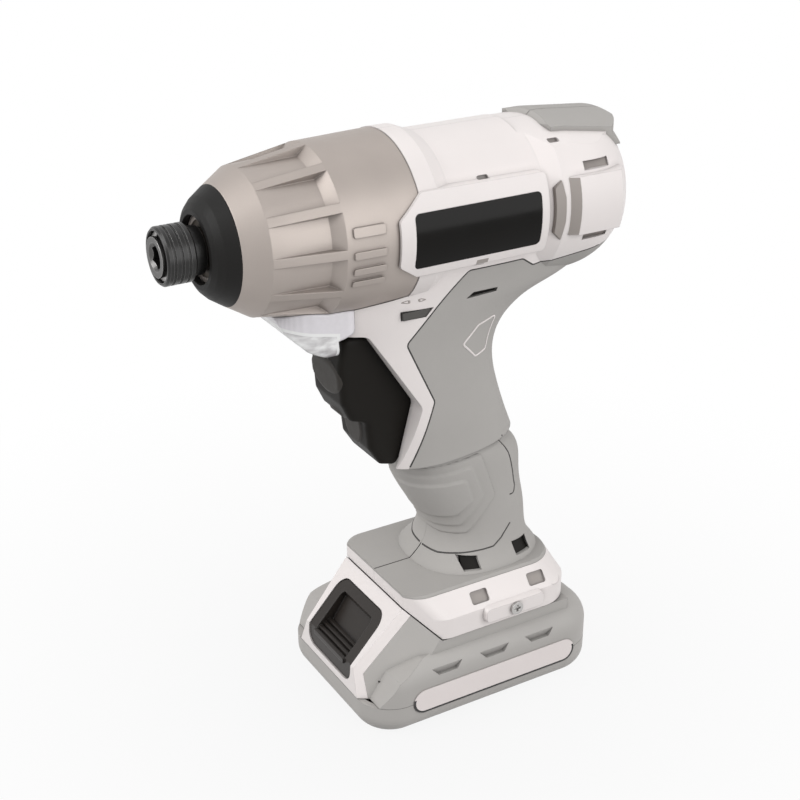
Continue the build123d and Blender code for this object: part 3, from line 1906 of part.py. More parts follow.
# Swollen sides of the pack round the cells
with BuildPart() as pack_sides:
    add(battery_prism(0, battery_split, shoulder_height))
    fillet(pack_sides.faces().sort_by(Axis.Z)[-1].edges(), shoulder_edge)
    add(
        side_slab(
            [
                *arch,
                (battery_back - 1, shoulder_height),
                (battery_back - 1, battery_split),
            ],
            battery_half_width + 1,
        ),
        mode=Mode.INTERSECT,
    )

with BuildPart() as side_bands:
    with BuildSketch(Plane.XZ):
        with Locations(((strip_front + strip_back) / 2, battery_split)):
            SlotOverall(strip_front - strip_back, strip_height)
    extrude(amount=battery_half_width + strip_proud, both=True)
    add(
        block(
            (strip_back - 1, -battery_half_width + strip_depth, 0),
            (strip_front + 1, battery_half_width - strip_depth, 2 * battery_split),
        ),
        mode=Mode.SUBTRACT,
    )

with BuildPart() as cell_room:
    add(battery_prism(battery_wall, battery_split - 1, cell_room_top))
    add(
        block(
            (battery_back, -battery_half_width, 0),
            (cell_room_front, battery_half_width, cell_room_top),
        ),
        mode=Mode.INTERSECT,
    )

# What the finger notches leave standing between them
with BuildPart() as dimple_core:
    with BuildSketch(Plane.YZ.offset(battery_back)):
        with BuildLine():
            Polyline(
                (-battery_half_width + dimple_depth, dimple_bottom),
                (battery_half_width - dimple_depth, dimple_bottom),
                (battery_half_width - dimple_lean, dimple_top),
                (-battery_half_width + dimple_lean, dimple_top),
                close=True,
            )
        make_face()
    extrude(amount=battery_front - battery_back)

with BuildPart() as battery_upper_case:
    add(pack_nose.part)
    add(pack_sides.part)
    add(
        block(
            (rail_back, -rail_neck_half_width, neck_top - 1),
            (rail_front, rail_neck_half_width, rail_head_bottom + 0.1),
        )
    )
    add(block((rail_back, -rail_half_width, rail_head_bottom), (rail_front, rail_half_width, rail_top)))
    add(side_slab(panel_strip, battery_half_width), mode=Mode.SUBTRACT)
    # Room for the cells and, over them, for the board
    add(cell_room.part, mode=Mode.SUBTRACT)
    add(
        block(
            (board_room_back, -board_room_half_width, cell_room_top - 1),
            (board_room_front, board_room_half_width, board_top + seat_gap),
        ),
        mode=Mode.SUBTRACT,
    )
    for x, y in battery_screw_places:
        if x < 0:
            add(upright(x, y, battery_split, cell_room_top + 1, battery_boss_radius))
        add(
            upright(x, y, battery_split - 1, battery_screw_top + 1, battery_screws_radius + running),
            mode=Mode.SUBTRACT,
        )
    # Pocket for the release button, with room for its stroke
    add(
        side_slab(
            [(x - button_travel - 0.6 if x < 20 else x + 4, z) for x, z in button_outline],
            button_half_width,
            grow=button_gap,
        ),
        mode=Mode.SUBTRACT,
    )
    add(
        block(
            (button_pocket_back, -button_flange_half_width - button_gap, button_bottom - button_gap),
            (panel_strip[4][0] + 0.5, button_flange_half_width + button_gap, button_flange_top + button_gap),
        ),
        mode=Mode.SUBTRACT,
    )
    # Slots for the tool's blades and the pack's contacts
    for y in blade_places:
        add(
            block(
                (rail_back - 1, y - blade_slot, board_top),
                (terminal_block_front + blade_reach + 3, y + blade_slot, rail_top + 1),
            ),
            mode=Mode.SUBTRACT,
        )
    add(side_bands.part, mode=Mode.SUBTRACT)
    # Finger notches that run out upwards
    for x in dimple_centres:
        add(
            side_slab(
                [
                    (x - dimple_length / 2, dimple_top),
                    (x + dimple_length / 2, dimple_top),
                    (x + dimple_length / 2 - dimple_slant, dimple_bottom),
                    (x - dimple_length / 2 + dimple_slant, dimple_bottom),
                ],
                battery_half_width + 1,
            )
            - dimple_core.part,
            mode=Mode.SUBTRACT,
        )
battery_upper_case.part.label = "battery_upper_case"
export_step(battery_upper_case.part, "parts/battery_upper_case.step")

with BuildPart() as tray_room:
    add(battery_prism(battery_wall, battery_wall + 0.2, battery_split + 1))
    fillet(tray_room.faces().sort_by(Axis.Z)[0].edges(), tray_inner_edge)

with BuildPart() as battery_tray:
    add(battery_prism(0, 0, battery_split - seat_gap))
    fillet(battery_tray.faces().sort_by(Axis.Z)[0].edges(), tray_edge)
    add(tray_room.part, mode=Mode.SUBTRACT)
    for x, y in battery_screw_places:
        add(upright(x, y, battery_wall, battery_split - seat_gap, battery_boss_radius))
        add(
            upright(x, y, -1, battery_split + 1, battery_screws_radius + running),
            mode=Mode.SUBTRACT,
        )
        add(
            upright(x, y, -1, battery_screw_seat, battery_screw_head + seat_gap),
            mode=Mode.SUBTRACT,
        )
    add(side_bands.part, mode=Mode.SUBTRACT)
battery_tray.part.label = "battery_tray"
export_step(battery_tray.part, "parts/battery_tray.step")

with BuildPart() as battery_front_panel:
    add(pack_nose.part)
    add(side_slab(panel_strip, battery_half_width), mode=Mode.INTERSECT)
    add(
        rounded_mouth(button_half_width, button_bottom, button_top, button_corner, button_gap),
        mode=Mode.SUBTRACT,
    )
battery_front_panel.part.label = "battery_front_panel"
export_step(battery_front_panel.part, "parts/battery_front_panel.step")

with BuildPart() as side_strips:
    add(side_bands.part)
side_strips.part.label = "side_strips"
export_step(side_strips.part, "parts/side_strips.step")

# Finger scoop of the release button
with BuildPart() as scoop:
    add(side_slab(scoop_outline, scoop_half_width))
    add(rounded_mouth(scoop_half_width, scoop_bottom, scoop_top, scoop_corner, 0), mode=Mode.INTERSECT)

with BuildPart() as release_button:
    add(side_slab(button_outline, button_half_width))
    add(rounded_mouth(button_half_width, button_bottom, button_top, button_corner, 0), mode=Mode.INTERSECT)
    add(scoop.part, mode=Mode.SUBTRACT)
    for number in range(scoop_ribs):
        share = (number + 0.7) / scoop_ribs
        x = scoop_outline[3][0] + share * (scoop_outline[4][0] - scoop_outline[3][0]) * 0.9
        z = scoop_outline[3][1] + share * (scoop_outline[4][1] - scoop_outline[3][1]) * 0.9
        add(
            block(
                (x - scoop_rib_width / 2, -scoop_half_width, z - 1),
                (x + scoop_rib_width / 2, scoop_half_width, z + scoop_rib_height),
            )
        )
    add(
        block(
            (button_outline[3][0], -button_flange_half_width, button_bottom),
            (button_flange_front, button_flange_half_width, button_flange_top),
        )
    )
    add(
        rod(
            button_pocket_back - 1,
            latch_spring_front,
            0,
            latch_spring_z,
            latch_spring_radius + latch_spring_wire + slide_gap,
        ),
        mode=Mode.SUBTRACT,
    )
release_button.part.label = "release_button"
export_step(release_button.part, "parts/release_button.step")

with BuildPart() as latch_spring:
    add(
        coil(
            button_pocket_back,
            latch_spring_front,
            latch_spring_radius,
            latch_spring_wire,
            latch_spring_turns,
            z=latch_spring_z,
        )
    )
latch_spring.part.label = "latch_spring"
export_step(latch_spring.part, "parts/latch_spring.step")

with BuildPart() as battery_cells:
    for number in (-1, 0, 1):
        add(rod(cell_front - cell_length, cell_front, number * cell_pitch, cell_height, cell_radius))
battery_cells.part.label = "battery_cells"
export_step(battery_cells.part, "parts/battery_cells.step")

with BuildPart() as cell_straps:
    for front in (cell_front + strap_thickness, cell_front - cell_length):
        add(
            block(
                (front - strap_thickness, -cell_pitch - strap_half_height, cell_height - strap_half_height),
                (front, cell_pitch + strap_half_height, cell_height + strap_half_height),
            )
        )
cell_straps.part.label = "cell_straps"
export_step(cell_straps.part, "parts/cell_straps.step")

with BuildPart() as battery_board:
    add(
        block(
            (board_back, -board_half_width, board_top - board_thickness),
            (board_front, board_half_width, board_top),
        )
    )
battery_board.part.label = "battery_board"
export_step(battery_board.part, "parts/battery_board.step")

with BuildPart() as battery_contacts:
    for y in blade_places:
        add(
            block(
                (rail_back + 1, y + blade_half_thickness + 0.15, board_top),
                (
                    terminal_block_front + blade_reach + 2,
                    y + blade_half_thickness + 0.15 + contact_thickness,
                    blade_top,
                ),
            )
        )
battery_contacts.part.label = "battery_contacts"
export_step(battery_contacts.part, "parts/battery_contacts.step")

with BuildPart() as battery_screws:
    for x, y in battery_screw_places:
        add(upright(x, y, battery_screw_seat, battery_screw_top, battery_screws_radius))
        add(upright(x, y, battery_screw_seat - 1.6, battery_screw_seat, battery_screw_head))
        with BuildSketch(Plane.XY.offset(battery_screw_seat - 1.6)):
            with Locations((x, y)):
                Rectangle(3.2, 0.8)
                Rectangle(0.8, 3.2)
        extrude(amount=0.8, mode=Mode.SUBTRACT)
battery_screws.part.label = "battery_screws"
export_step(battery_screws.part, "parts/battery_screws.step")
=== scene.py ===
"""Looks of a cordless impact tool: finishes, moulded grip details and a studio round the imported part."""

import math

import bpy
from bpy.props import FloatProperty, FloatVectorProperty, PointerProperty
from bpy.types import Operator, Panel, PropertyGroup
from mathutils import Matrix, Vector


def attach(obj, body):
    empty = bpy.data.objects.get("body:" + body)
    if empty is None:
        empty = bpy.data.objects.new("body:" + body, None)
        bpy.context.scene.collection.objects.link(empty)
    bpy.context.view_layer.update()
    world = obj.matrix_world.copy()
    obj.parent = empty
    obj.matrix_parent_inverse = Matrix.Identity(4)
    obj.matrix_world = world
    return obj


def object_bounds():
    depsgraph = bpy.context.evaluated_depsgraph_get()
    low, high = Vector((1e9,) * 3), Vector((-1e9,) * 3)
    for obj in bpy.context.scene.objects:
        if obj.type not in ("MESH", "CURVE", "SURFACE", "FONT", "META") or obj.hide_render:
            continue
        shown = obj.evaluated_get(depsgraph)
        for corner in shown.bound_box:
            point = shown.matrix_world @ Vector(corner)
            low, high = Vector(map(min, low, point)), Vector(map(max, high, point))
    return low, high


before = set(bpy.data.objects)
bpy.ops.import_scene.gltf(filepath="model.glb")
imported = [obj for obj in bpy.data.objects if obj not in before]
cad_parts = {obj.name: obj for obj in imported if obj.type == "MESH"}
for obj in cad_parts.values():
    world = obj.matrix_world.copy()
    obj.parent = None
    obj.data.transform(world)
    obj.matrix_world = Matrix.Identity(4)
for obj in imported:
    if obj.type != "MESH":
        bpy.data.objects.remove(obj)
cad_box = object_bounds()

bl_info = {
    "name": "Cordless impact tool",
    "version": (1, 0, 0),
    "blender": (4, 5, 0),
    "location": "View3D > Sidebar > Impact tool",
    "description": "Dresses the packed parts of a cordless impact tool and sets up its studio",
    "category": "Object",
}

MM = 0.001
RAY_LENGTH = 80.0 * MM

# Colours that stay the same, most of them of pieces inside
WHITE = (1.0, 1.0, 1.0)
BOARD_GREEN = (0.02, 0.10, 0.035)
BRASS = (0.72, 0.50, 0.20)
BRONZE = (0.045, 0.034, 0.024)
CARBON = (0.02, 0.02, 0.021)
CELL_BLUE = (0.05, 0.16, 0.30)
# Grey under the painted reflections in the light cover's window
WINDOW_REFLECTION_GREY = (0.52, 0.50, 0.51)
COPPER = (0.72, 0.30, 0.13)
FERRITE = (0.035, 0.034, 0.036)
NICKEL = (0.60, 0.57, 0.52)
NYLON_BLACK = (0.02, 0.02, 0.02)

# Places that finishes follow: the barrel's axis, the slanted side of the foot, the battery's strips and the
# upper edge of the light cover's window
BARREL_AXIS = 172.0 * MM
FOOT_KNEE = 38.0 * MM
FOOT_SLOPE = 0.8125
STRIP_MIDDLE = (-19.6 * MM, 11.7 * MM)
STRIP_STRAIGHT = 28.4 * MM
WINDOW_SLOPE = 0.21

# Reach and tone of the painted shade in seams and corners and on sharp edges of moulded surfaces
SEAM_SHADE_REACH = 2.5 * MM
SEAM_SHADE_TONE = 0.3
EDGE_SHADE_REACH = 0.3 * MM
EDGE_SHADE_TONE = 0.45

# Rise of thin beads, and the share of the rubber's colour in those that stand for joints
BEAD_RISE = 0.06 * MM
JOINT_TONE = 0.16

# Laid sheets: their grid, how far their edges sink into what carries them, and the depth of their backs
SHEET_SPACING = 0.45 * MM
SHEET_SINK = 0.06 * MM
SHEET_BACK = 0.5 * MM

# Place of each lamp in metres, and its width
LAMPS = {
    "side": ((-0.38, 1.0, 0.42), 1.1),
    "front": ((0.95, -0.15, 0.75), 0.7),
    "top": ((-0.15, -0.35, 1.15), 0.8),
}

# Reach of the tool's shadow on the floor, and how much of it the camera sees
SHADOW_REACH = 0.28
SHADOW_SHARE = 0.12


def colour(name, description, default):
    """A colour that a user can change."""
    return FloatVectorProperty(
        name=name, description=description, subtype="COLOR", size=3, min=0.0, max=1.0, default=default
    )


def length(name, description, default):
    """A length in metres that a user can change."""
    return FloatProperty(name=name, description=description, unit="LENGTH", precision=5, default=default)


def power(name, description, default):
    """A lamp's power in watts that a user can change."""
    return FloatProperty(name=name, description=description, unit="POWER", default=default)


class ToolColours(PropertyGroup):
    """Colours of the tool's finishes."""

    shell: colour("Shell", "Moulded casing halves", (0.84, 0.787, 0.772))
    rubber: colour("Grip rubber", "Soft skin of the handle and the rear bumper", (0.435, 0.418, 0.400))
    # The trim colour also serves as painted shade on the rear plates' slopes
    trim: colour("Trim", "Vent inserts and moulded marks", (0.34, 0.305, 0.283))
    panel: colour("Gloss panel", "Bare gloss panel on each side", (0.004, 0.0035, 0.003))
    case: colour("Hammer case", "Cast front case", (0.405, 0.358, 0.329))
    boot: colour("Nose boot", "Rubber ring round the nose", (0.008, 0.0075, 0.007))
    sleeve: colour("Sleeve", "Blackened quick-change sleeve", (0.012, 0.0115, 0.011))
    steel: colour("Steel", "Ground and turned steel", (0.50, 0.49, 0.48))
    trigger: colour("Trigger", "Trigger and other black mouldings", (0.0075, 0.0062, 0.0048))
    pads: colour("Finger pads", "Soft ovals on the trigger", (0.022, 0.0185, 0.0155))
    selector: colour("Selector", "Sliding direction selector", (0.085, 0.08, 0.075))
    lens: colour("Light cover", "Milky cover of the work light", (0.93, 0.90, 0.94))
    strip: colour("Battery strip", "Pale inlay along the battery's sides", (0.82, 0.755, 0.74))
    button: colour("Release button", "Button that frees the battery", (0.026, 0.021, 0.018))


class GripSizes(PropertyGroup):
    """Sizes of what is moulded into the grip."""

    axis_x: length("Handle axis", "Place along the tool of the upright line that details face", -22.0 * MM)
    radius: length("Handle radius", "Length along the surface for one radian round the handle", 17.0 * MM)
    step_height: length("Step height", "Rise of each step of the finger rest", 0.6 * MM)
    step_slope: length("Step slope", "Width of the ramp at each step", 0.8 * MM)
    step_corner: length("Step corner", "Rounding of the steps' corners", 1.6 * MM)
    line_width: length("Line width", "Width of the inlaid lines", 0.75 * MM)
    line_rise: length("Line rise", "How far the inlaid lines stand proud", 0.22 * MM)
    slit_width: length("Slit width", "Width of the dark joint lines", 0.5 * MM)
    pad_height: length("Pad height", "Rise of the trigger's finger pads", 0.5 * MM)


class StudioSettings(PropertyGroup):
    """Camera, lamps and floor."""

    eye: FloatVectorProperty(
        name="Camera place", description="Where the camera stands", subtype="TRANSLATION", unit="LENGTH",
        precision=5, default=(220.93 * MM, 375.18 * MM, 316.73 * MM),
    )
    azimuth: FloatProperty(
        name="Camera azimuth", description="Turn of the camera round the tool", subtype="ANGLE",
        default=math.radians(149.41),
    )
    elevation: FloatProperty(
        name="Camera elevation", description="Camera's angle above the horizon", subtype="ANGLE",
        default=math.radians(25.645),
    )
    lens: FloatProperty(
        name="Lens", description="Focal length for a 36 mm wide picture", unit="CAMERA", default=66.43
    )
    side_power: power("Side lamp", "Lamp on the tool's left", 7.8)
    front_power: power("Front lamp", "Lamp before the nose", 7.4)
    top_power: power("Top lamp", "Lamp overhead", 0.9)
    sky: FloatProperty(name="Sky", description="Strength of the even light from all round", default=0.51)
    floor: colour("Floor", "Pale floor under the tool", (0.36, 0.36, 0.36))


class ToolSettings(PropertyGroup):
    """All that a user can change."""

    colours: PointerProperty(type=ToolColours)
    grip: PointerProperty(type=GripSizes)
    studio: PointerProperty(type=StudioSettings)


class Value:
    """An output socket; arithmetic on it adds Math nodes to its tree."""

    def __init__(self, recipe, socket):
        self.recipe = recipe
        self.socket = socket

    def output(self, name):
        """Another output of the same node."""
        return Value(self.recipe, self.socket.node.outputs[name])

    def maths(self, operation, first, second=0.0):
        """A Math node on two values."""
        return self.recipe.node("ShaderNodeMath", {0: first, 1: second}, operation=operation)

    def clamped(self):
        """The value kept between 0 and 1."""
        return self.recipe.node("ShaderNodeMath", {0: self, 1: 0.0}, operation="ADD", use_clamp=True)

    def __add__(self, other):
        return self.maths("ADD", self, other)

    def __radd__(self, other):
        return self.maths("ADD", other, self)

    def __sub__(self, other):
        return self.maths("SUBTRACT", self, other)

    def __rsub__(self, other):
        return self.maths("SUBTRACT", other, self)

    def __mul__(self, other):
        return self.maths("MULTIPLY", self, other)

    def __rmul__(self, other):
        return self.maths("MULTIPLY", other, self)

    def __truediv__(self, other):
        return self.maths("DIVIDE", self, other)

    def __pow__(self, other):
        return self.maths("POWER", self, other)


class Recipe:
    """A node tree that is written node by node."""

    def __init__(self, tree):
        self.tree = tree

    def node(self, kind, sockets=None, **settings):
        """Adds a node: its settings first, then the values or links of its sockets."""
        made = self.tree.nodes.new(kind)
        for name, setting in settings.items():
            setattr(made, name, setting)
        for name, value in (sockets or {}).items():
            if isinstance(value, Value):
                self.tree.links.new(value.socket, made.inputs[name])
            else:
                made.inputs[name].default_value = value
        shown = [socket for socket in made.outputs if socket.enabled]
        return Value(self, shown[0]) if shown else None


class Finish(Recipe):
    """A procedural material on Object coordinates."""

    def __init__(self, name):
        self.material = bpy.data.materials.new(name)
        self.material.use_nodes = True
        super().__init__(self.material.node_tree)
        self.tree.nodes.clear()
        self.place = self.node("ShaderNodeTexCoord").output("Object")

    def noise(self, size, detail=2.0, stretch=WHITE):
        """Even noise from 0 to 1 with blotches of about that size, squeezed along each axis by stretch."""
        spread = self.node("ShaderNodeMapping", {"Vector": self.place, "Scale": stretch})
        sockets = {"Vector": spread, "Scale": 1.0 / size, "Detail": detail}
        return self.node("ShaderNodeTexNoise", sockets)

    def cells(self, size):
        """Distance from the middle of scattered grains of about that size."""
        return self.node("ShaderNodeTexVoronoi", {"Vector": self.place, "Scale": 1.0 / size})

    def axes(self):
        """The place along the tool, the distance from its middle plane and the height."""
        place = self.node("ShaderNodeSeparateXYZ", {0: self.place})
        return place.output("X"), place.maths("ABSOLUTE", place.output("Y")), place.output("Z")

    def inside(self, areas):
        """1 inside any of the areas, each given by values and their limits in millimetres."""
        total = 0.0
        for area in areas:
            share = 1.0
            for value, (low, high) in area.items():
                middle, reach = (low + high) / 2 * MM, (high - low) / 2 * MM
                near = {0: value, 1: middle, 2: reach}
                share = share * self.node("ShaderNodeMath", near, operation="COMPARE")
            total = total + share
        return total.clamped()

    def mix(self, factor, first, second):
        """A colour between two colours."""
        pair = [rgba(item) if isinstance(item, tuple) else item for item in (first, second)]
        return self.node("ShaderNodeMix", {0: factor, 6: pair[0], 7: pair[1]}, data_type="RGBA")

    def openness(self, reach):
        """1 on open surface, falling to 0 in seams and corners of that reach."""
        return self.node("ShaderNodeAmbientOcclusion", {"Distance": reach}, samples=8).output("AO")

    def relief(self, height, depth, edge):
        """A normal with that relief on it, and with edges rounded by that radius."""
        soft = self.node("ShaderNodeBevel", {"Radius": edge}, samples=6)
        return self.node("ShaderNodeBump", {"Height": height, "Distance": depth, "Normal": soft})

    # Edge mask: real wear on turned metal, painted shade on the edges of moulded surfaces
    def edge_wear_and_shade(self, edge):
        """1 on sharp edges of that radius, 0 on plain surface."""
        soft = self.node("ShaderNodeBevel", {"Radius": edge}, samples=6)
        flat = self.node("ShaderNodeNewGeometry").output("Normal")
        facing = self.node("ShaderNodeVectorMath", {0: soft, 1: flat}, operation="DOT_PRODUCT")
        return ((1.0 - facing.output("Value")) * 6.0).clamped()

    def painted_edge_and_seam_shade(self, tone, shade, share):
        """The tone with painted shade, by that share, on its sharp edges, and with painted shade in seams
        and corners.
        """
        # Painted shade: darker sharp edges, then darker seams and corners
        tone = self.mix(share * self.edge_wear_and_shade(EDGE_SHADE_REACH), tone, toned(shade, EDGE_SHADE_TONE))
        return self.mix(self.openness(SEAM_SHADE_REACH), toned(shade, SEAM_SHADE_TONE), tone)

    def surface(self, sockets):
        """Closes the material with a Principled surface and returns it."""
        values = {key: rgba(item) if isinstance(item, tuple) else item for key, item in sockets.items()}
        shader = self.node("ShaderNodeBsdfPrincipled", values)
        self.node("ShaderNodeOutputMaterial", {"Surface": shader})
        return self.material


def rgba(shade):
    """The colour with full opacity."""
    return (*shade, 1.0)


def toned(shade, amount):
    """The colour made darker or lighter by a factor."""
    return tuple(min(1.0, part * amount) for part in shade)


def moulded(name, shade, **looks):
    """Plain moulded plastic."""
    return moulded_surface(Finish(name), shade, **looks)


def moulded_surface(
    finish, shade, marks=None, trim=None,
    rough=0.42, grain=0.45 * MM, depth=0.012 * MM, gloss=0.5, edge=0.35 * MM,
):
    """Moulded plastic: faint flow clouds, a spark-eroded grain, soft edges, and painted shade on sharp edges
    and in seams.
    """
    cloud = finish.noise(22.0 * MM)
    pitted = finish.noise(grain, 3.0)
    tone = finish.mix(cloud, toned(shade, 0.965), toned(shade, 1.025))
    # The marks mask holds real moulded marks and recess floors, and also painted shade: the rear plates'
    # slopes and the strip's joint shadow
    if marks:
        tone = finish.mix(marks, tone, trim)
    return finish.surface({
        # Painted shade on sharp edges and in seams
        "Base Color": finish.painted_edge_and_seam_shade(tone, shade, 0.45),
        "Roughness": rough + 0.10 * pitted - 0.06 * cloud,
        "Specular IOR Level": gloss,
        "Normal": finish.relief(pitted, depth, edge),
    })


def shell_plastic(name, shade, trim):
    """The casing's plastic, with recess floors in the trim colour, and the slopes of the rear plates in it
    as painted shade.
    """
    finish = Finish(name)
    along, side, up = finish.axes()
    rise = up - BARREL_AXIS
    radius = (side * side + rise * rise) ** 0.5
    fall = side + (up - FOOT_KNEE) * FOOT_SLOPE
    barrel_marks = {along: (-21.0, -12.0), radius: (23.6, 24.9)}
    label_mark = {along: (-16.6, -12.4), side: (24.0, 29.0), up: (160.7, 162.2)}
    crown_mark = {along: (-48.0, -43.0), side: (14.6, 19.2), radius: (24.6, 25.8)}
    # Painted shade: the rear plates' slopes in the trim colour
    plate_slope_shade = {along: (-49.1, -45.0), up: (164.2, 182.4), radius: (27.35, 28.9)}
    foot_recesses = [
        {along: reach, up: (38.8, 43.8), fall: (26.0, 29.05)} for reach in ((-20.0, -12.4), (-43.2, -35.6))
    ]
    areas = [barrel_marks, label_mark, crown_mark, plate_slope_shade, *foot_recesses]
    return moulded_surface(finish, shade, finish.inside(areas), trim)


def strip_plastic(name, shade):
    """The inlaid strip's plastic, with a painted shadow of its joint along the lower edge and round the
    back.
    """
    finish = Finish(name)
    along, _, up = finish.axes()
    rise = up - STRIP_MIDDLE[1]
    past = along.maths("MAXIMUM", along.maths("ABSOLUTE", along - STRIP_MIDDLE[0]) - STRIP_STRAIGHT, 0.0)
    away = (past * past + rise * rise) ** 0.5
    # Painted shadow of the strip's joint
    joint = finish.inside([{away: (3.75, 5.5), rise: (-6.0, 1.5)}])
    return moulded_surface(finish, shade, joint, toned(shade, 0.02), rough=0.36)


def soft_rubber(name, shade, rough=0.66, grain=0.7 * MM, gloss=0.35, edge=0.45 * MM):
    """Soft moulded rubber: a matt leathery grain, with painted shade on sharp edges and in seams."""
    finish = Finish(name)
    cloud = finish.noise(16.0 * MM)
    pebbles = finish.cells(grain)
    dust = finish.noise(3.0 * MM, 4.0)
    tone = finish.mix(0.6 * cloud + 0.4 * dust, toned(shade, 0.95), toned(shade, 1.04))
    return finish.surface({
        # Painted shade on sharp edges and in seams
        "Base Color": finish.painted_edge_and_seam_shade(tone, shade, 0.4),
        "Roughness": rough + 0.12 * dust,
        "Specular IOR Level": gloss,
        "Normal": finish.relief(pebbles, 0.02 * MM, edge),
    })


def cast_metal(name, shade):
    """Die-cast case with a satin lacquer: fine sand texture, soft clouds and painted shade in its corners.
    """
    finish = Finish(name)
    cloud = finish.noise(14.0 * MM)
    sand = finish.noise(0.30 * MM, 4.0)
    tone = finish.mix(0.5 * cloud + 0.5 * sand, toned(shade, 0.88), toned(shade, 1.12))
    return finish.surface({
        # Painted shade: darker in corners and crevices
        "Base Color": finish.mix(finish.openness(3.0 * MM), toned(shade, 0.35), tone),
        "Metallic": 0.65,
        "Roughness": 0.46 + 0.14 * sand - 0.05 * cloud,
        "Normal": finish.relief(sand, 0.012 * MM, 0.45 * MM),
    })


def turned_metal(name, shade, rough=0.26, worn=None, metallic=1.0):
    """Metal turned about the tool's axis: fine rings, and bright edges where a coating has worn."""
    finish = Finish(name)
    rings = finish.noise(9.0 * MM, 4.0, (90.0, 1.0, 1.0))
    smear = finish.noise(5.0 * MM, 3.0)
    tone = finish.mix(smear, toned(shade, 0.86), toned(shade, 1.10))
    if worn:
        tone = finish.mix(finish.edge_wear_and_shade(0.35 * MM) * (0.35 + 0.5 * smear), tone, worn)
    return finish.surface({
        "Base Color": tone,
        "Metallic": metallic,
        "Roughness": rough + 0.14 * rings + 0.06 * smear,
        "Normal": finish.relief(rings, 0.01 * MM, 0.25 * MM),
    })


def plain_metal(name, shade, rough=0.3, metallic=1.0):
    """Pressed, drawn or sintered metal with a faint mottle."""
    finish = Finish(name)
    mottle = finish.noise(2.5 * MM, 4.0)
    return finish.surface({
        "Base Color": finish.mix(mottle, toned(shade, 0.85), toned(shade, 1.12)),
        "Metallic": metallic,
        "Roughness": rough + 0.16 * mottle,
        "Normal": finish.relief(mottle, 0.008 * MM, 0.2 * MM),
    })


def gloss_panel(name, shade):
    """Bare gloss panel: deep black with a slight orange peel under its lacquer."""
    finish = Finish(name)
    peel = finish.noise(2.2 * MM, 1.0)
    haze = finish.noise(9.0 * MM, 4.0)
    return finish.surface({
        "Base Color": finish.mix(haze, shade, toned(shade, 1.6)),
        "Roughness": 0.13 + 0.08 * haze,
        "Normal": finish.relief(peel, 0.004 * MM, 0.3 * MM),
        "Specular IOR Level": 0.12,
    })


def milky_cover(name, shade):
    """Milky cover with a clearer window below, whose inside is ribbed to spread the light, and with painted
    reflections in that window.
    """
    finish = Finish(name)
    along, _, up = finish.axes()
    level = up - WINDOW_SLOPE * along
    window = finish.inside([{level: (120.0, 135.5), along: (29.3, 50.0)}])
    upper_rim = {level: (135.5, 136.5), along: (28.2, 50.0)}
    rear_rim = {level: (120.0, 135.5), along: (28.2, 29.3)}
    rim = finish.inside([upper_rim, rear_rim])
    ribs = finish.node(
        "ShaderNodeTexWave",
        {"Vector": finish.place, "Scale": 0.3 / MM, "Distortion": 0.6, "Detail": 1.0},
        wave_type="BANDS", bands_direction="Y", wave_profile="SIN",
    )
    frost = finish.noise(1.4 * MM, 3.0)
    # Painted reflections and highlights: white streaks over grey in the window
    reflection_streaks = finish.noise(7.0 * MM, 3.0, (1.0, 1.0, 2.5))
    tone = finish.mix(0.4 * ribs + 0.6 * frost, toned(shade, 0.86), toned(shade, 1.0))
    clear = finish.mix((3.5 * reflection_streaks - 1.2).clamped(), WINDOW_REFLECTION_GREY, WHITE)
    tone = finish.mix(window, tone, clear)
    return finish.surface({
        "Base Color": finish.mix(rim, tone, WHITE),
        "Roughness": 0.10 + 0.16 * frost,
        "IOR": 1.49,
        "Transmission Weight": 0.12,
        "Normal": finish.relief(ribs, 0.03 * MM, 1.2 * MM),
    })


def dress(material, *nodes):
    """Gives CAD nodes a finish."""
    for name in nodes:
        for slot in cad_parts[name].material_slots:
            slot.material = material


def nodes_tree(name, inputs):
    """An empty Geometry Nodes tree with named inputs; returns its recipe and the inputs' values."""
    tree = bpy.data.node_groups.new(name, "GeometryNodeTree")
    tree.interface.new_socket("Geometry", in_out="INPUT", socket_type="NodeSocketGeometry")
    for label, kind in inputs.items():
        tree.interface.new_socket(label, in_out="INPUT", socket_type=f"NodeSocket{kind}")
    tree.interface.new_socket("Geometry", in_out="OUTPUT", socket_type="NodeSocketGeometry")
    recipe = Recipe(tree)
    return recipe, recipe.node("NodeGroupInput")


def laying_tree(name, *numbers):
    """An empty tree for work that is laid on one or two nodes, with those numbers as its other inputs."""
    kinds = {"Left": "Object", "Right": "Object", **dict.fromkeys(numbers, "Float"), "Finish": "Material"}
    return nodes_tree(name, kinds)


def close_tree(geometry):
    """Links what was made to its tree's output and returns the tree."""
    geometry.recipe.node("NodeGroupOutput", {"Geometry": geometry})
    return geometry.recipe.tree


def position(recipe):
    """The place of each point along each axis."""
    place = recipe.node("ShaderNodeSeparateXYZ", {0: recipe.node("GeometryNodeInputPosition")})
    return [place.output(axis) for axis in "XYZ"]


def vector(recipe, x, y, z):
    """A vector from its parts."""
    return recipe.node("ShaderNodeCombineXYZ", {0: x, 1: y, 2: z})


def shape_of(given, name):
    """The geometry of an object that is one of the tree's inputs."""
    return given.recipe.node("GeometryNodeObjectInfo", {"Object": given.output(name)}).output("Geometry")


def outline_curve(mesh, corner):
    """The edges of a mesh as a curve with rounded corners."""
    curve = mesh.recipe.node("GeometryNodeMeshToCurve", {"Mesh": mesh})
    rounding = {"Curve": curve, "Count": 6, "Radius": corner}
    return mesh.recipe.node("GeometryNodeFilletCurve", rounding, mode="POLY")


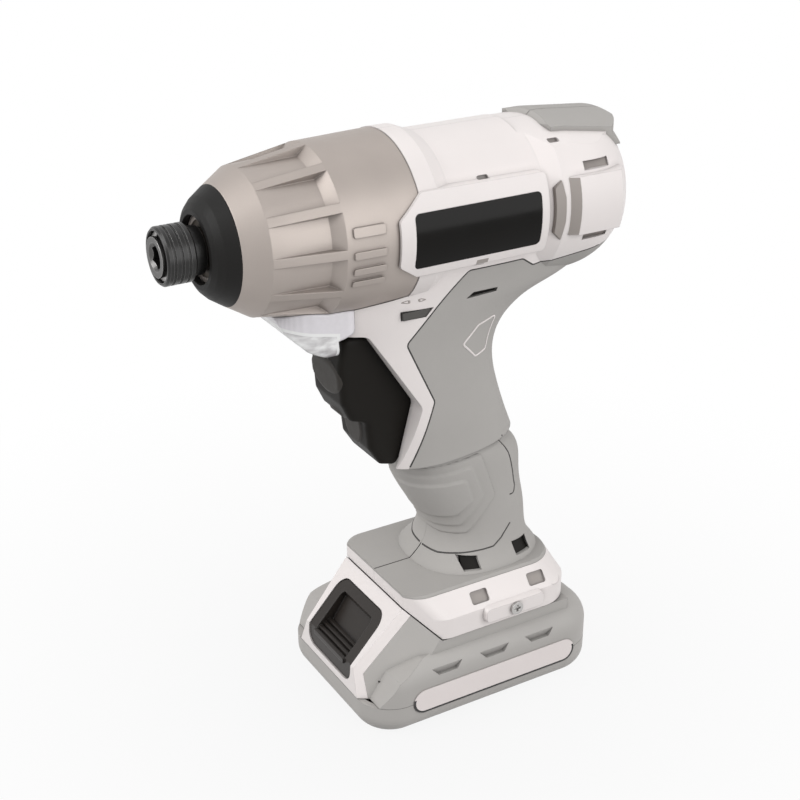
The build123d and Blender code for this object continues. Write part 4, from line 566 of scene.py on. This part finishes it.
def step_tree():
    """Raises a flat sheet inside a contour, with a smooth ramp round it."""
    recipe, given = nodes_tree(
        "raised step", {"Contour": "Object", "Height": "Float", "Slope": "Float", "Corner": "Float"}
    )
    rounded = outline_curve(shape_of(given, "Contour"), given.output("Corner"))
    filled = recipe.node("GeometryNodeFillCurve", {"Curve": rounded}, mode="NGONS")
    x, y, _ = position(recipe)
    near = {0: filled, "Sample Position": vector(recipe, x, y, 0.0)}
    away = recipe.node("GeometryNodeProximity", near, target_element="FACES")
    ramp = {
        "Value": away.output("Distance"), "From Min": 0.0, "From Max": given.output("Slope"),
        "To Min": given.output("Height"), "To Max": 0.0,
    }
    rise = recipe.node("ShaderNodeMapRange", ramp, interpolation_type="SMOOTHSTEP")
    lift = vector(recipe, 0.0, 0.0, rise)
    raised = recipe.node("GeometryNodeSetPosition", {"Geometry": given, "Offset": lift})
    return close_tree(raised)


def trim_tree():
    """Drops what still lies flat once the steps are raised."""
    recipe, given = nodes_tree("trim", {"Least": "Float"})
    limits = {0: position(recipe)[2], 1: given.output("Least")}
    flat = recipe.node("FunctionNodeCompare", limits, data_type="FLOAT", operation="LESS_THAN")
    left = {"Geometry": given, "Selection": flat}
    return close_tree(recipe.node("GeometryNodeDeleteGeometry", left, domain="FACE"))


def bead_tree():
    """Turns flat lines into flattened beads."""
    recipe, given = nodes_tree(
        "bead", {"Width": "Float", "Rise": "Float", "Corner": "Float", "Spacing": "Float"}
    )
    curve = outline_curve(given, given.output("Corner"))
    spaced = {"Curve": curve, "Length": given.output("Spacing")}
    even = recipe.node("GeometryNodeResampleCurve", spaced, mode="LENGTH")
    section = {"Resolution": 10, "Radius": 0.5 * given.output("Width")}
    ring = recipe.node("GeometryNodeCurvePrimitiveCircle", section)
    tube = recipe.node("GeometryNodeCurveToMesh", {"Curve": even, "Profile Curve": ring, "Fill Caps": True})
    x, y, z = position(recipe)
    pressed = vector(recipe, x, y, z * 2.0 * given.output("Rise") / given.output("Width"))
    return close_tree(recipe.node("GeometryNodeSetPosition", {"Geometry": tube, "Position": pressed}))


def wrap_tree():
    """Wraps flat work round an upright line and lays it on the surfaces it meets."""
    recipe, given = laying_tree("wrap", "Axis", "Radius", "Sink")
    x, y, z = position(recipe)
    turn = x / given.output("Radius")
    east = turn.maths("COSINE", turn)
    north = turn.maths("SINE", turn)
    start = vector(recipe, given.output("Axis") + RAY_LENGTH * east, RAY_LENGTH * north, y)
    inward = vector(recipe, -1.0 * east, -1.0 * north, 0.0)
    return lay(given, start, inward, z - given.output("Sink"))


def drop_tree():
    """Lays flat work on the surfaces under it."""
    recipe, given = laying_tree("drop", "Top")
    x, y, z = position(recipe)
    return lay(given, vector(recipe, x, y, given.output("Top")), (0.0, 0.0, -1.0), z)


def press_tree():
    """Lays flat work, drawn along the tool and upward, on the surfaces beside it."""
    recipe, given = laying_tree("press", "Side")
    x, y, z = position(recipe)
    start = vector(recipe, x, RAY_LENGTH * given.output("Side"), y)
    return lay(given, start, vector(recipe, 0.0, -1.0 * given.output("Side"), 0.0), z)


def lay(given, start, direction, lift):
    """Ends a tree that moves points from their starts along a direction onto the left and right targets."""
    recipe = given.recipe
    both = recipe.node("GeometryNodeJoinGeometry", {0: shape_of(given, "Left")})
    recipe.tree.links.new(shape_of(given, "Right").socket, both.socket.node.inputs[0])
    rays = {0: both, "Source Position": start, "Ray Direction": direction, "Ray Length": RAY_LENGTH}
    struck = recipe.node("GeometryNodeRaycast", rays)
    outward = {0: struck.output("Hit Normal"), "Scale": lift}
    off = recipe.node("ShaderNodeVectorMath", outward, operation="SCALE")
    laid = recipe.node("ShaderNodeVectorMath", {0: struck.output("Hit Position"), 1: off}, operation="ADD")
    missed = {"Geometry": given, "Selection": 1.0 - struck.output("Is Hit")}
    kept = recipe.node("GeometryNodeDeleteGeometry", missed, domain="POINT")
    moved = recipe.node("GeometryNodeSetPosition", {"Geometry": kept, "Position": laid})
    smooth = recipe.node("GeometryNodeSetShadeSmooth", {"Geometry": moved})
    whole = recipe.node("GeometryNodeRealizeInstances", {"Geometry": smooth})
    return close_tree(recipe.node("GeometryNodeSetMaterial", {0: whole, "Material": given.output("Finish")}))


def tree(name):
    """One of the Geometry Nodes trees, made when it is first asked for."""
    makers = {
        "raised step": step_tree, "trim": trim_tree, "bead": bead_tree,
        "wrap": wrap_tree, "drop": drop_tree, "press": press_tree,
    }
    return bpy.data.node_groups.get(name) or makers[name]()


def modify(piece, name, values):
    """Adds the modifier of one of the Geometry Nodes trees, with its inputs set."""
    modifier = piece.modifiers.new(name, "NODES")
    modifier.node_group = tree(name)
    for item in modifier.node_group.interface.items_tree:
        if item.in_out == "INPUT" and item.name in values:
            modifier[item.identifier] = values[item.name]


def flat_object(name, points, edges, faces=()):
    """A new mesh object from flat points given in metres along the surface."""
    mesh = bpy.data.meshes.new(name)
    mesh.from_pydata([(x, y, 0.0) for x, y in points], edges, faces)
    piece = bpy.data.objects.new(name, mesh)
    bpy.context.scene.collection.objects.link(piece)
    return piece


def flat_lines(name, lines, closed):
    """Flat lines, each a list of points."""
    points, edges = [], []
    for line in lines:
        first = len(points)
        points += line
        edges += [(first + i, first + i + 1) for i in range(len(line) - 1)]
        if closed:
            edges.append((len(points) - 1, first))
    return flat_object(name, points, edges)


def flat_sheet(name, low, high, spacing):
    """A flat grid of quads between two corners."""
    across = math.ceil((high[0] - low[0]) / spacing)
    up = math.ceil((high[1] - low[1]) / spacing)
    points = [
        (low[0] + (high[0] - low[0]) * i / across, low[1] + (high[1] - low[1]) * j / up)
        for j in range(up + 1)
        for i in range(across + 1)
    ]
    row = across + 1
    faces = [
        (j * row + i, j * row + i + 1, (j + 1) * row + i + 1, (j + 1) * row + i)
        for j in range(up)
        for i in range(across)
    ]
    return flat_object(name, points, [], faces)


def settle(piece, body, helpers=()):
    """Turns a piece's modifiers into a plain mesh, lets it ride on a body and removes its helper objects."""
    graph = bpy.context.evaluated_depsgraph_get()
    mesh = bpy.data.meshes.new_from_object(piece.evaluated_get(graph))
    piece.modifiers.clear()
    piece.data = mesh
    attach(piece, body)
    for helper in helpers:
        bpy.data.objects.remove(helper)


def laid_on(targets, material):
    """What every laying tree is told: the one or two nodes that carry the work, and its finish."""
    nodes = [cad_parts[name] for name in targets]
    return {"Left": nodes[0], "Right": nodes[-1], "Finish": material}


def wrap(piece, targets, axis, radius, sink, material):
    """Lays flat work on the target nodes, round the upright line at that place."""
    values = {"Axis": axis, "Radius": radius, "Sink": sink, **laid_on(targets, material)}
    modify(piece, "wrap", values)


def thicken(piece, depth):
    """Gives a laid sheet a back inside what carries it."""
    solid = piece.modifiers.new("back", "SOLIDIFY")
    solid.thickness = depth
    solid.offset = -1.0


def joint_line(name, points, section, way, values):
    """Lays a thin bead, drawn flat in millimetres, on the tool's body by one of the laying trees."""
    bead = flat_lines(name, [[(x * MM, y * MM) for x, y in points]], False)
    modify(bead, "bead", section)
    modify(bead, way, values)
    settle(bead, "tool_body")


def both_sides(side):
    """A closed contour from its left half, given from the middle of the front and back to it."""
    return side + [(-angle, height) for angle, height in reversed(side) if angle > 0.0]


def unrolled(points, radius):
    """Flat points in metres from angles in degrees and heights in millimetres."""
    return [(radius * math.radians(angle), height * MM) for angle, height in points]


def raised_sheet(name, contours, low, high, sizes):
    """A fine flat sheet with a step at each contour, and the contours' helper objects."""
    sheet = flat_sheet(name, low, high, SHEET_SPACING)
    helpers = [flat_lines(f"{name}_contour", [contour], True) for contour in contours]
    for helper in helpers:
        values = {"Contour": helper, "Height": sizes[0], "Slope": sizes[1], "Corner": sizes[2]}
        modify(sheet, "raised step", values)
    modify(sheet, "trim", {"Least": 0.01 * MM})
    return sheet, helpers


class ToolOperator(Operator):
    """What the tool's operators share."""

    bl_options = {"REGISTER", "UNDO"}

    def shade(self, name):
        """One of the colours that a user can change."""
        return tuple(getattr(bpy.context.scene.impact_tool.colours, name))


class DressCasing(ToolOperator):
    """Finish the casing halves, grip skins, bumper, panels, light and screws"""

    bl_idname = "impact_tool.dress_casing"
    bl_label = "Casing"

    def execute(self, context):
        shell = shell_plastic("shell plastic", self.shade("shell"), self.shade("trim"))
        dress(shell, "housing_left", "housing_right")
        dress(soft_rubber("grip rubber", self.shade("rubber")), "grip_left", "grip_right", "rear_bumpers")
        dress(gloss_panel("gloss panel", self.shade("panel")), "side_panels")
        dress(moulded("vent trim", self.shade("trim"), rough=0.5), "vent_inserts")
        dress(turned_metal("screw steel", self.shade("steel")), "housing_screws", "boss_screw")
        dress(milky_cover("light cover", self.shade("lens")), "light_lens")
        dress(moulded("circuit board", BOARD_GREEN, rough=0.35), "light_board")
        return {"FINISHED"}


class DressNose(ToolOperator):
    """Finish the hammer case, boot, anvil, bush and quick-change sleeve"""

    bl_idname = "impact_tool.dress_nose"
    bl_label = "Nose"

    def execute(self, context):
        steel = self.shade("steel")
        dress(cast_metal("cast case", self.shade("case")), "hammer_case")
        boot = soft_rubber("boot rubber", self.shade("boot"), rough=0.46, grain=0.5 * MM, gloss=0.2)
        dress(boot, "nose_boot")
        worn = toned(steel, 0.55)
        oxide = turned_metal("blackened sleeve", self.shade("sleeve"), rough=0.24, worn=worn, metallic=0.3)
        dress(oxide, "collet_sleeve")
        dress(turned_metal("anvil steel", toned(steel, 0.22), rough=0.24, worn=steel), "anvil")
        dress(plain_metal("oiled bush bronze", BRONZE, 0.34), "anvil_bush")
        dress(plain_metal("washer steel", toned(steel, 0.9)), "thrust_washer", "snap_ring", "collet_spring")
        dress(plain_metal("ball steel", toned(steel, 1.25), 0.08), "bit_balls")
        return {"FINISHED"}


class DressDrive(ToolOperator):
    """Finish the hammer, cam spindle, springs and planet gears"""

    bl_idname = "impact_tool.dress_drive"
    bl_label = "Impact drive"

    def execute(self, context):
        steel = self.shade("steel")
        planets = [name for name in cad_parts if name.startswith("planet_gear")]
        forged = turned_metal("hammer steel", toned(steel, 0.45), rough=0.36, worn=steel)
        dress(forged, "hammer", "cam_spindle")
        dress(plain_metal("gear steel", toned(steel, 0.75), 0.28), "ring_gear", "pinion", *planets)
        dress(plain_metal("pin steel", steel, 0.16), "planet_pins", "cam_balls", "spindle_bearing")
        dress(plain_metal("drawn spring wire", toned(steel, 0.6), 0.30), "hammer_spring", "spring_washer")
        dress(moulded("gear plate nylon", NYLON_BLACK, rough=0.5), "gear_plate")
        return {"FINISHED"}


class DressMotor(ToolOperator):
    """Finish the motor's can, magnets, rotor, brushes and fan"""

    bl_idname = "impact_tool.dress_motor"
    bl_label = "Motor"

    def execute(self, context):
        steel = self.shade("steel")
        dress(plain_metal("zinc can", toned(steel, 0.95), 0.34), "motor_can")
        dress(plain_metal("ferrite", FERRITE, rough=0.55, metallic=0.2), "motor_magnets")
        dress(plain_metal("motor bearing steel", steel, 0.2), "motor_bearings", "motor_shaft")
        dress(plain_metal("core iron", toned(steel, 0.35), 0.45), "armature_core")
        dress(plain_metal("winding copper", COPPER, 0.28), "armature_windings", "commutator")
        dress(plain_metal("brush carbon", CARBON, rough=0.6, metallic=0.0), "brushes")
        dress(moulded("fan nylon", self.shade("trigger"), rough=0.5), "cooling_fan", "brush_plate")
        return {"FINISHED"}


class DressControls(ToolOperator):
    """Finish the trigger, switch, selector and terminals"""

    bl_idname = "impact_tool.dress_controls"
    bl_label = "Controls"

    def execute(self, context):
        black = self.shade("trigger")
        lever = moulded("trigger plastic", black, rough=0.46, depth=0.02 * MM, gloss=0.12, edge=2.0 * MM)
        dress(lever, "trigger")
        dress(moulded("selector plastic", self.shade("selector"), gloss=0.3), "direction_selector")
        dress(moulded("switch plastic", toned(black, 1.6)), "switch_module", "terminal_block")
        dress(plain_metal("switch spring wire", toned(self.shade("steel"), 0.7)), "trigger_spring")
        dress(plain_metal("contact brass", BRASS, 0.22), "terminal_blades")
        return {"FINISHED"}


class DressBattery(ToolOperator):
    """Finish the battery's cases, panel, strips, button and cells"""

    bl_idname = "impact_tool.dress_battery"
    bl_label = "Battery"

    def execute(self, context):
        grey = toned(self.shade("rubber"), 1.02)
        pack = moulded("battery grey", grey, rough=0.5, grain=0.6 * MM, depth=0.016 * MM, gloss=0.4)
        dress(pack, "battery_upper_case", "battery_tray")
        dress(moulded("battery white", self.shade("shell"), rough=0.38), "battery_front_panel")
        dress(strip_plastic("battery strip", self.shade("strip")), "side_strips")
        button = moulded("button plastic", self.shade("button"), rough=0.34, gloss=0.3, edge=0.6 * MM)
        dress(button, "release_button")
        dress(moulded("cell wrap", CELL_BLUE, rough=0.25), "battery_cells")
        dress(plain_metal("nickel strap", NICKEL, 0.25), "cell_straps")
        dress(moulded("battery circuit board", BOARD_GREEN, rough=0.35), "battery_board")
        dress(plain_metal("battery contact brass", BRASS, 0.22), "battery_contacts")
        dress(turned_metal("battery screw steel", self.shade("steel")), "battery_screws")
        dress(plain_metal("latch spring wire", toned(self.shade("steel"), 0.7)), "latch_spring")
        return {"FINISHED"}


class FingerRest(ToolOperator):
    """Raise the nested steps of the finger rest round the front of the grip"""

    bl_idname = "impact_tool.finger_rest"
    bl_label = "Finger rest"

    # Left half of each contour, from the middle of the front: degrees round the handle and height in mm
    contours = [
        [(0, 85.4), (33, 86.6), (60, 88.4), (88, 89.4), (108, 72.3), (76, 60.0), (40, 58.8), (0, 58.6)],
        [(0, 81.8), (34, 83.6), (75, 86.0), (92, 73.7), (68, 63.6), (30, 61.9), (0, 61.2)],
        [(0, 78.0), (32, 80.2), (69, 81.6), (77, 73.1), (62, 68.5), (30, 66.6), (0, 65.3)],
    ]
    # Lower right and upper left corner of the sheet round them
    corners = [(-113.0, 56.0), (113.0, 91.0)]

    def execute(self, context):
        sizes = context.scene.impact_tool.grip
        loops = [unrolled(both_sides(side), sizes.radius) for side in self.contours]
        low, high = unrolled(self.corners, sizes.radius)
        steps = (sizes.step_height, sizes.step_slope, sizes.step_corner)
        sheet, helpers = raised_sheet("finger_rest", loops, low, high, steps)
        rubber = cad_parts["grip_left"].material_slots[0].material
        wrap(sheet, ("grip_left", "grip_right"), sizes.axis_x, sizes.radius, SHEET_SINK, rubber)
        thicken(sheet, SHEET_BACK)
        settle(sheet, "tool_body", helpers)
        return {"FINISHED"}


class GripLines(ToolOperator):
    """Inlay the pale outline on the upper grip and the dark joint lines on the lower"""

    bl_idname = "impact_tool.grip_lines"
    bl_label = "Grip lines"

    # Left side of each line: degrees round the handle and height in mm
    outline = [(109.0, 138.0), (82.4, 136.1), (64.4, 130.7), (80.5, 125.1), (99.5, 126.1)]
    joints = [
        [(121.6, 93.5), (129.7, 86.1), (135.2, 77.9), (137.5, 72.5), (134.8, 69.7), (129.0, 70.2)],
        [(4.0, 50.6), (36.0, 50.8), (60.0, 51.8), (86.0, 52.6), (107.0, 53.0), (116.0, 55.0), (127.6, 59.5)],
    ]

    def execute(self, context):
        sizes = context.scene.impact_tool.grip
        pale = moulded("inlay plastic", self.shade("shell"))
        dark = soft_rubber("joint shade", toned(self.shade("rubber"), 0.22))
        self.inlay("grip_outline", [self.outline], True, sizes, (sizes.line_width, sizes.line_rise), pale)
        self.inlay("grip_joints", self.joints, False, sizes, (sizes.slit_width, 0.08 * MM), dark)
        return {"FINISHED"}

    def inlay(self, name, lines, closed, sizes, section, material):
        """Lays the same lines on the left and right of the grip."""
        sides = [[(turn * angle, height) for angle, height in line] for line in lines for turn in (1, -1)]
        beads = flat_lines(name, [unrolled(side, sizes.radius) for side in sides], closed)
        values = {"Width": section[0], "Rise": section[1], "Corner": 1.0 * MM, "Spacing": 0.6 * MM}
        modify(beads, "bead", values)
        wrap(beads, ("grip_left", "grip_right"), sizes.axis_x, sizes.radius, 0.0, material)
        settle(beads, "tool_body")


class SelectorMarks(ToolOperator):
    """Mark the two directions above the selector with plain arrowheads"""

    bl_idname = "impact_tool.selector_marks"
    bl_label = "Selector marks"

    # Place round the handle and half length of each arrowhead in degrees, and their heights in mm
    arrowheads = [(30.5, -1.5), (37.5, 1.5)]
    heights = (149.6, 150.2, 149.0)

    def execute(self, context):
        sizes = context.scene.impact_tool.grip
        marks = []
        for angle, point in self.arrowheads:
            side = list(zip((angle + point, angle - point, angle - point), self.heights))
            marks += [side, [(-turn, height) for turn, height in side]]
        arrows = flat_lines("selector_marks", [unrolled(mark, sizes.radius) for mark in marks], True)
        values = {"Width": 0.25 * MM, "Rise": BEAD_RISE, "Corner": 0.1 * MM, "Spacing": 0.3 * MM}
        modify(arrows, "bead", values)
        grey = moulded("mark grey", toned(self.shade("trim"), 1.3))
        wrap(arrows, ("housing_left", "housing_right"), sizes.axis_x, sizes.radius, 0.0, grey)
        settle(arrows, "tool_body")
        return {"FINISHED"}


class GripWindows(ToolOperator):
    """Lay dark sheets on the floors of the grip's windows as painted shade"""

    bl_idname = "impact_tool.grip_windows"
    bl_label = "Grip windows"

    # Lower and upper corner of each window on the left: degrees round the handle and height in mm
    windows = [((64.0, 146.4), (101.0, 149.4)), ((66.0, 46.2), (90.0, 52.0)), ((125.0, 46.4), (147.0, 53.0))]
    spacing = 0.9 * MM
    lift = 0.2 * MM
    back = 0.15 * MM

    def execute(self, context):
        sizes = context.scene.impact_tool.grip
        # Painted shade: dark sheets stand for the shade inside the windows
        dark = moulded("window shade", self.shade("trigger"), rough=0.6, gloss=0.2)
        corners = [
            ((turn * low[0], low[1]), (turn * high[0], high[1]))
            for low, high in self.windows
            for turn in (1, -1)
        ]
        for number, pair in enumerate(corners, 1):
            (left, bottom), (right, top) = unrolled(pair, sizes.radius)
            name = f"window_floor_{number}"
            floor = flat_sheet(name, (min(left, right), bottom), (max(left, right), top), self.spacing)
            wrap(floor, ("housing_left", "housing_right"), sizes.axis_x, sizes.radius, -self.lift, dark)
            thicken(floor, self.back)
            settle(floor, "tool_body")
        return {"FINISHED"}


class VentFloors(ToolOperator):
    """Close the shallow air slots over and under the rear plates"""

    bl_idname = "impact_tool.vent_floors"
    bl_label = "Vent floors"

    # Ends of the slots along the tool, their heights, and the floors' distance from the barrel's axis, in mm
    ends = (-62.8, -52.2)
    heights = (184.8, 162.4)
    depth_radius = 25.7
    half_height = 1.8
    back = 0.4 * MM

    def execute(self, context):
        grey = moulded("vent floor", self.shade("trim"), rough=0.55)
        places = [(height - BARREL_AXIS / MM, side) for height in self.heights for side in (1, -1)]
        for number, (rise, side) in enumerate(places, 1):
            out = math.sqrt(self.depth_radius**2 - rise**2)
            slope = Vector((0.0, -side * rise, out)) * self.half_height / self.depth_radius
            middle = Vector((0.0, side * out, rise + BARREL_AXIS / MM))
            rows = [middle - slope, middle + slope]
            corners = [(x * MM, row.y * MM, row.z * MM) for row in rows for x in self.ends]
            mesh = bpy.data.meshes.new(f"vent_floor_{number}")
            mesh.from_pydata(corners, [], [(0, 1, 3, 2)])
            mesh.materials.append(grey)
            floor = bpy.data.objects.new(mesh.name, mesh)
            context.scene.collection.objects.link(floor)
            thicken(floor, -self.back * side)
            settle(floor, "tool_body")
        return {"FINISHED"}


class GripParting(ToolOperator):
    """Draw the joint of the grip's halves over the top of the foot"""

    bl_idname = "impact_tool.grip_parting"
    bl_label = "Grip joint"

    # Places along the middle of the tool in mm, from the foot's front to the handle's front, and the
    # height from which the line drops
    joint = [(9.3, 0.0), (4.0, 0.0), (-2.0, 0.0), (-8.0, 0.0), (-9.4, 0.0)]
    top = 53.0 * MM

    def execute(self, context):
        dark = soft_rubber("parting shade", toned(self.shade("rubber"), JOINT_TONE))
        section = {"Width": 0.45 * MM, "Rise": BEAD_RISE, "Corner": 1.0 * MM, "Spacing": 0.3 * MM}
        values = {"Top": self.top, **laid_on(("grip_left", "grip_right"), dark)}
        joint_line("grip_parting", self.joint, section, "drop", values)
        return {"FINISHED"}


class GripSeam(ToolOperator):
    """Draw the joint between the shell and the grip skin on each side"""

    bl_idname = "impact_tool.grip_seam"
    bl_label = "Grip seam"

    # Places along the tool and heights in mm, from below the trigger up to the rear bumper
    seam = [
        (3.4, 90.0), (-3.4, 113.5), (6.7, 135.0), (-13.0, 157.2), (-33.0, 157.2), (-38.0, 153.8),
        (-62.0, 156.8),
    ]

    def execute(self, context):
        dark = soft_rubber("seam shade", toned(self.shade("rubber"), JOINT_TONE))
        section = {"Width": 0.5 * MM, "Rise": BEAD_RISE, "Corner": 2.0 * MM, "Spacing": 0.5 * MM}
        for side, turn in (("left", 1.0), ("right", -1.0)):
            values = {"Side": turn, **laid_on((f"grip_{side}", f"housing_{side}"), dark)}
            joint_line(f"grip_seam_{side}", self.seam, section, "press", values)
        return {"FINISHED"}


class TriggerPads(ToolOperator):
    """Raise an oval finger pad on each lobe of the trigger"""

    bl_idname = "impact_tool.trigger_pads"
    bl_label = "Trigger pads"

    # Middle height, half height and half width of each pad in mm, and the sheet's margin round it
    pads = [(123.4, 5.3, 7.6), (103.6, 6.6, 7.6)]
    margin = 1.5
    corners = 28
    axis_x = 4.0 * MM
    radius = 20.0 * MM
    slope = 1.0 * MM

    def execute(self, context):
        sizes = context.scene.impact_tool.grip
        soft = soft_rubber("pad rubber", self.shade("pads"), 0.5)
        for number, (middle, tall, wide) in enumerate(self.pads, 1):
            turns = [math.tau * i / self.corners for i in range(self.corners)]
            oval = [(wide * MM * math.cos(t), (middle + tall * math.sin(t)) * MM) for t in turns]
            low = (-(wide + self.margin) * MM, (middle - tall - self.margin) * MM)
            high = ((wide + self.margin) * MM, (middle + tall + self.margin) * MM)
            steps = (sizes.pad_height, self.slope, 0.0)
            pad, helpers = raised_sheet(f"trigger_pad_{number}", [oval], low, high, steps)
            wrap(pad, ("trigger",), self.axis_x, self.radius, SHEET_SINK, soft)
            thicken(pad, SHEET_BACK)
            settle(pad, "trigger", helpers)
        return {"FINISHED"}


class Stage(ToolOperator):
    """Set up the floor, lamps, sky and camera"""

    bl_idname = "impact_tool.stage"
    bl_label = "Studio"

    # Half the floor's width in metres, and how far it lies under the tool
    floor_reach = 2.5
    floor_drop = 0.1 * MM

    def execute(self, context):
        studio = context.scene.impact_tool.studio
        context.scene.view_settings.view_transform = "Standard"
        self.floor(context, tuple(studio.floor))
        self.sky(context, studio.sky)
        for name, (place, size) in LAMPS.items():
            self.lamp(context, f"{name}_lamp", place, size, getattr(studio, f"{name}_power"))
        self.camera(context, studio)
        return {"FINISHED"}

    def floor(self, context, shade):
        """A pale floor that keeps the tool's soft shadow near it and fades to white."""
        reach = self.floor_reach
        sheet = flat_sheet("floor", (-reach, -reach), (reach, reach), 0.5)
        sheet.location.z = -self.floor_drop
        context.view_layer.update()
        finish = Finish("floor paint")
        away = finish.node("ShaderNodeVectorMath", {0: finish.place}, operation="LENGTH").output("Value")
        seen = seen_rays(finish)
        near = (1.0 - away / SHADOW_REACH).clamped() ** 1.5
        paint = finish.node("ShaderNodeBsdfDiffuse", {"Color": rgba(shade)})
        glow = finish.node("ShaderNodeEmission", {"Color": rgba(WHITE)})
        shares = {0: seen * (1.0 - SHADOW_SHARE * near), 1: paint, 2: glow}
        both = finish.node("ShaderNodeMixShader", shares)
        finish.node("ShaderNodeOutputMaterial", {"Surface": both})
        sheet.data.materials.append(finish.material)

    def sky(self, context, strength):
        """An even soft light, white where it is seen directly."""
        world = bpy.data.worlds.new("studio sky")
        world.use_nodes = True
        world.node_tree.nodes.clear()
        sky = Recipe(world.node_tree)
        seen = seen_rays(sky)
        glow = strength + seen * (1.0 - strength)
        light = sky.node("ShaderNodeBackground", {"Color": rgba(WHITE), "Strength": glow})
        sky.node("ShaderNodeOutputWorld", {"Surface": light})
        context.scene.world = world

    def lamp(self, context, name, place, size, power):
        """A square soft lamp that faces the middle of the tool."""
        data = bpy.data.lights.new(name, "AREA")
        data.size = size
        data.energy = power
        lamp = bpy.data.objects.new(name, data)
        middle = (cad_box[0] + cad_box[1]) / 2
        lamp.location = place
        lamp.rotation_euler = (middle - Vector(place)).to_track_quat("-Z", "Y").to_euler()
        context.scene.collection.objects.link(lamp)

    def camera(self, context, studio):
        """The camera at the viewing angle of the photograph."""
        data = bpy.data.cameras.new("camera")
        data.lens = studio.lens
        camera = bpy.data.objects.new("camera", data)
        level = math.cos(studio.elevation)
        back = Vector((
            math.sin(studio.azimuth) * level,
            -math.cos(studio.azimuth) * level,
            math.sin(studio.elevation),
        ))
        camera.location = studio.eye
        camera.rotation_euler = (-back).to_track_quat("-Z", "Y").to_euler()
        context.scene.collection.objects.link(camera)
        context.scene.camera = camera


def seen_rays(recipe):
    """1 for rays that show a background directly, in a reflection or through a clear cover."""
    path = recipe.node("ShaderNodeLightPath")
    shown = path.output("Is Camera Ray") + path.output("Is Glossy Ray") + path.output("Is Transmission Ray")
    return shown.clamped()


operators = [
    Stage, DressCasing, DressNose, DressDrive, DressMotor, DressControls, DressBattery,
    FingerRest, GripLines, GripParting, GripSeam, SelectorMarks, GripWindows, VentFloors, TriggerPads,
]


class ToolPanel(Panel):
    """Lists the steps that dress the tool"""

    bl_idname = "VIEW3D_PT_impact_tool"
    bl_label = "Impact tool"
    bl_space_type = "VIEW_3D"
    bl_region_type = "UI"
    bl_category = "Impact tool"

    def draw(self, context):
        for operator in operators:
            self.layout.operator(operator.bl_idname)
        settings = context.scene.impact_tool
        for group in (settings.colours, settings.grip, settings.studio):
            column = self.layout.column()
            for name in group.__annotations__:
                column.prop(group, name)


classes = [ToolColours, GripSizes, StudioSettings, ToolSettings, *operators, ToolPanel]


def register():
    """Registers the classes and adds the settings to the scene."""
    for item in classes:
        bpy.utils.register_class(item)
    bpy.types.Scene.impact_tool = PointerProperty(type=ToolSettings)


def unregister():
    """Removes the settings and the classes."""
    del bpy.types.Scene.impact_tool
    for item in reversed(classes):
        bpy.utils.unregister_class(item)


def main():
    """Runs each operator in order."""
    register()
    for operator in operators:
        group, name = operator.bl_idname.split(".")
        getattr(getattr(bpy.ops, group), name)()


if __name__ == "__main__":
    main()
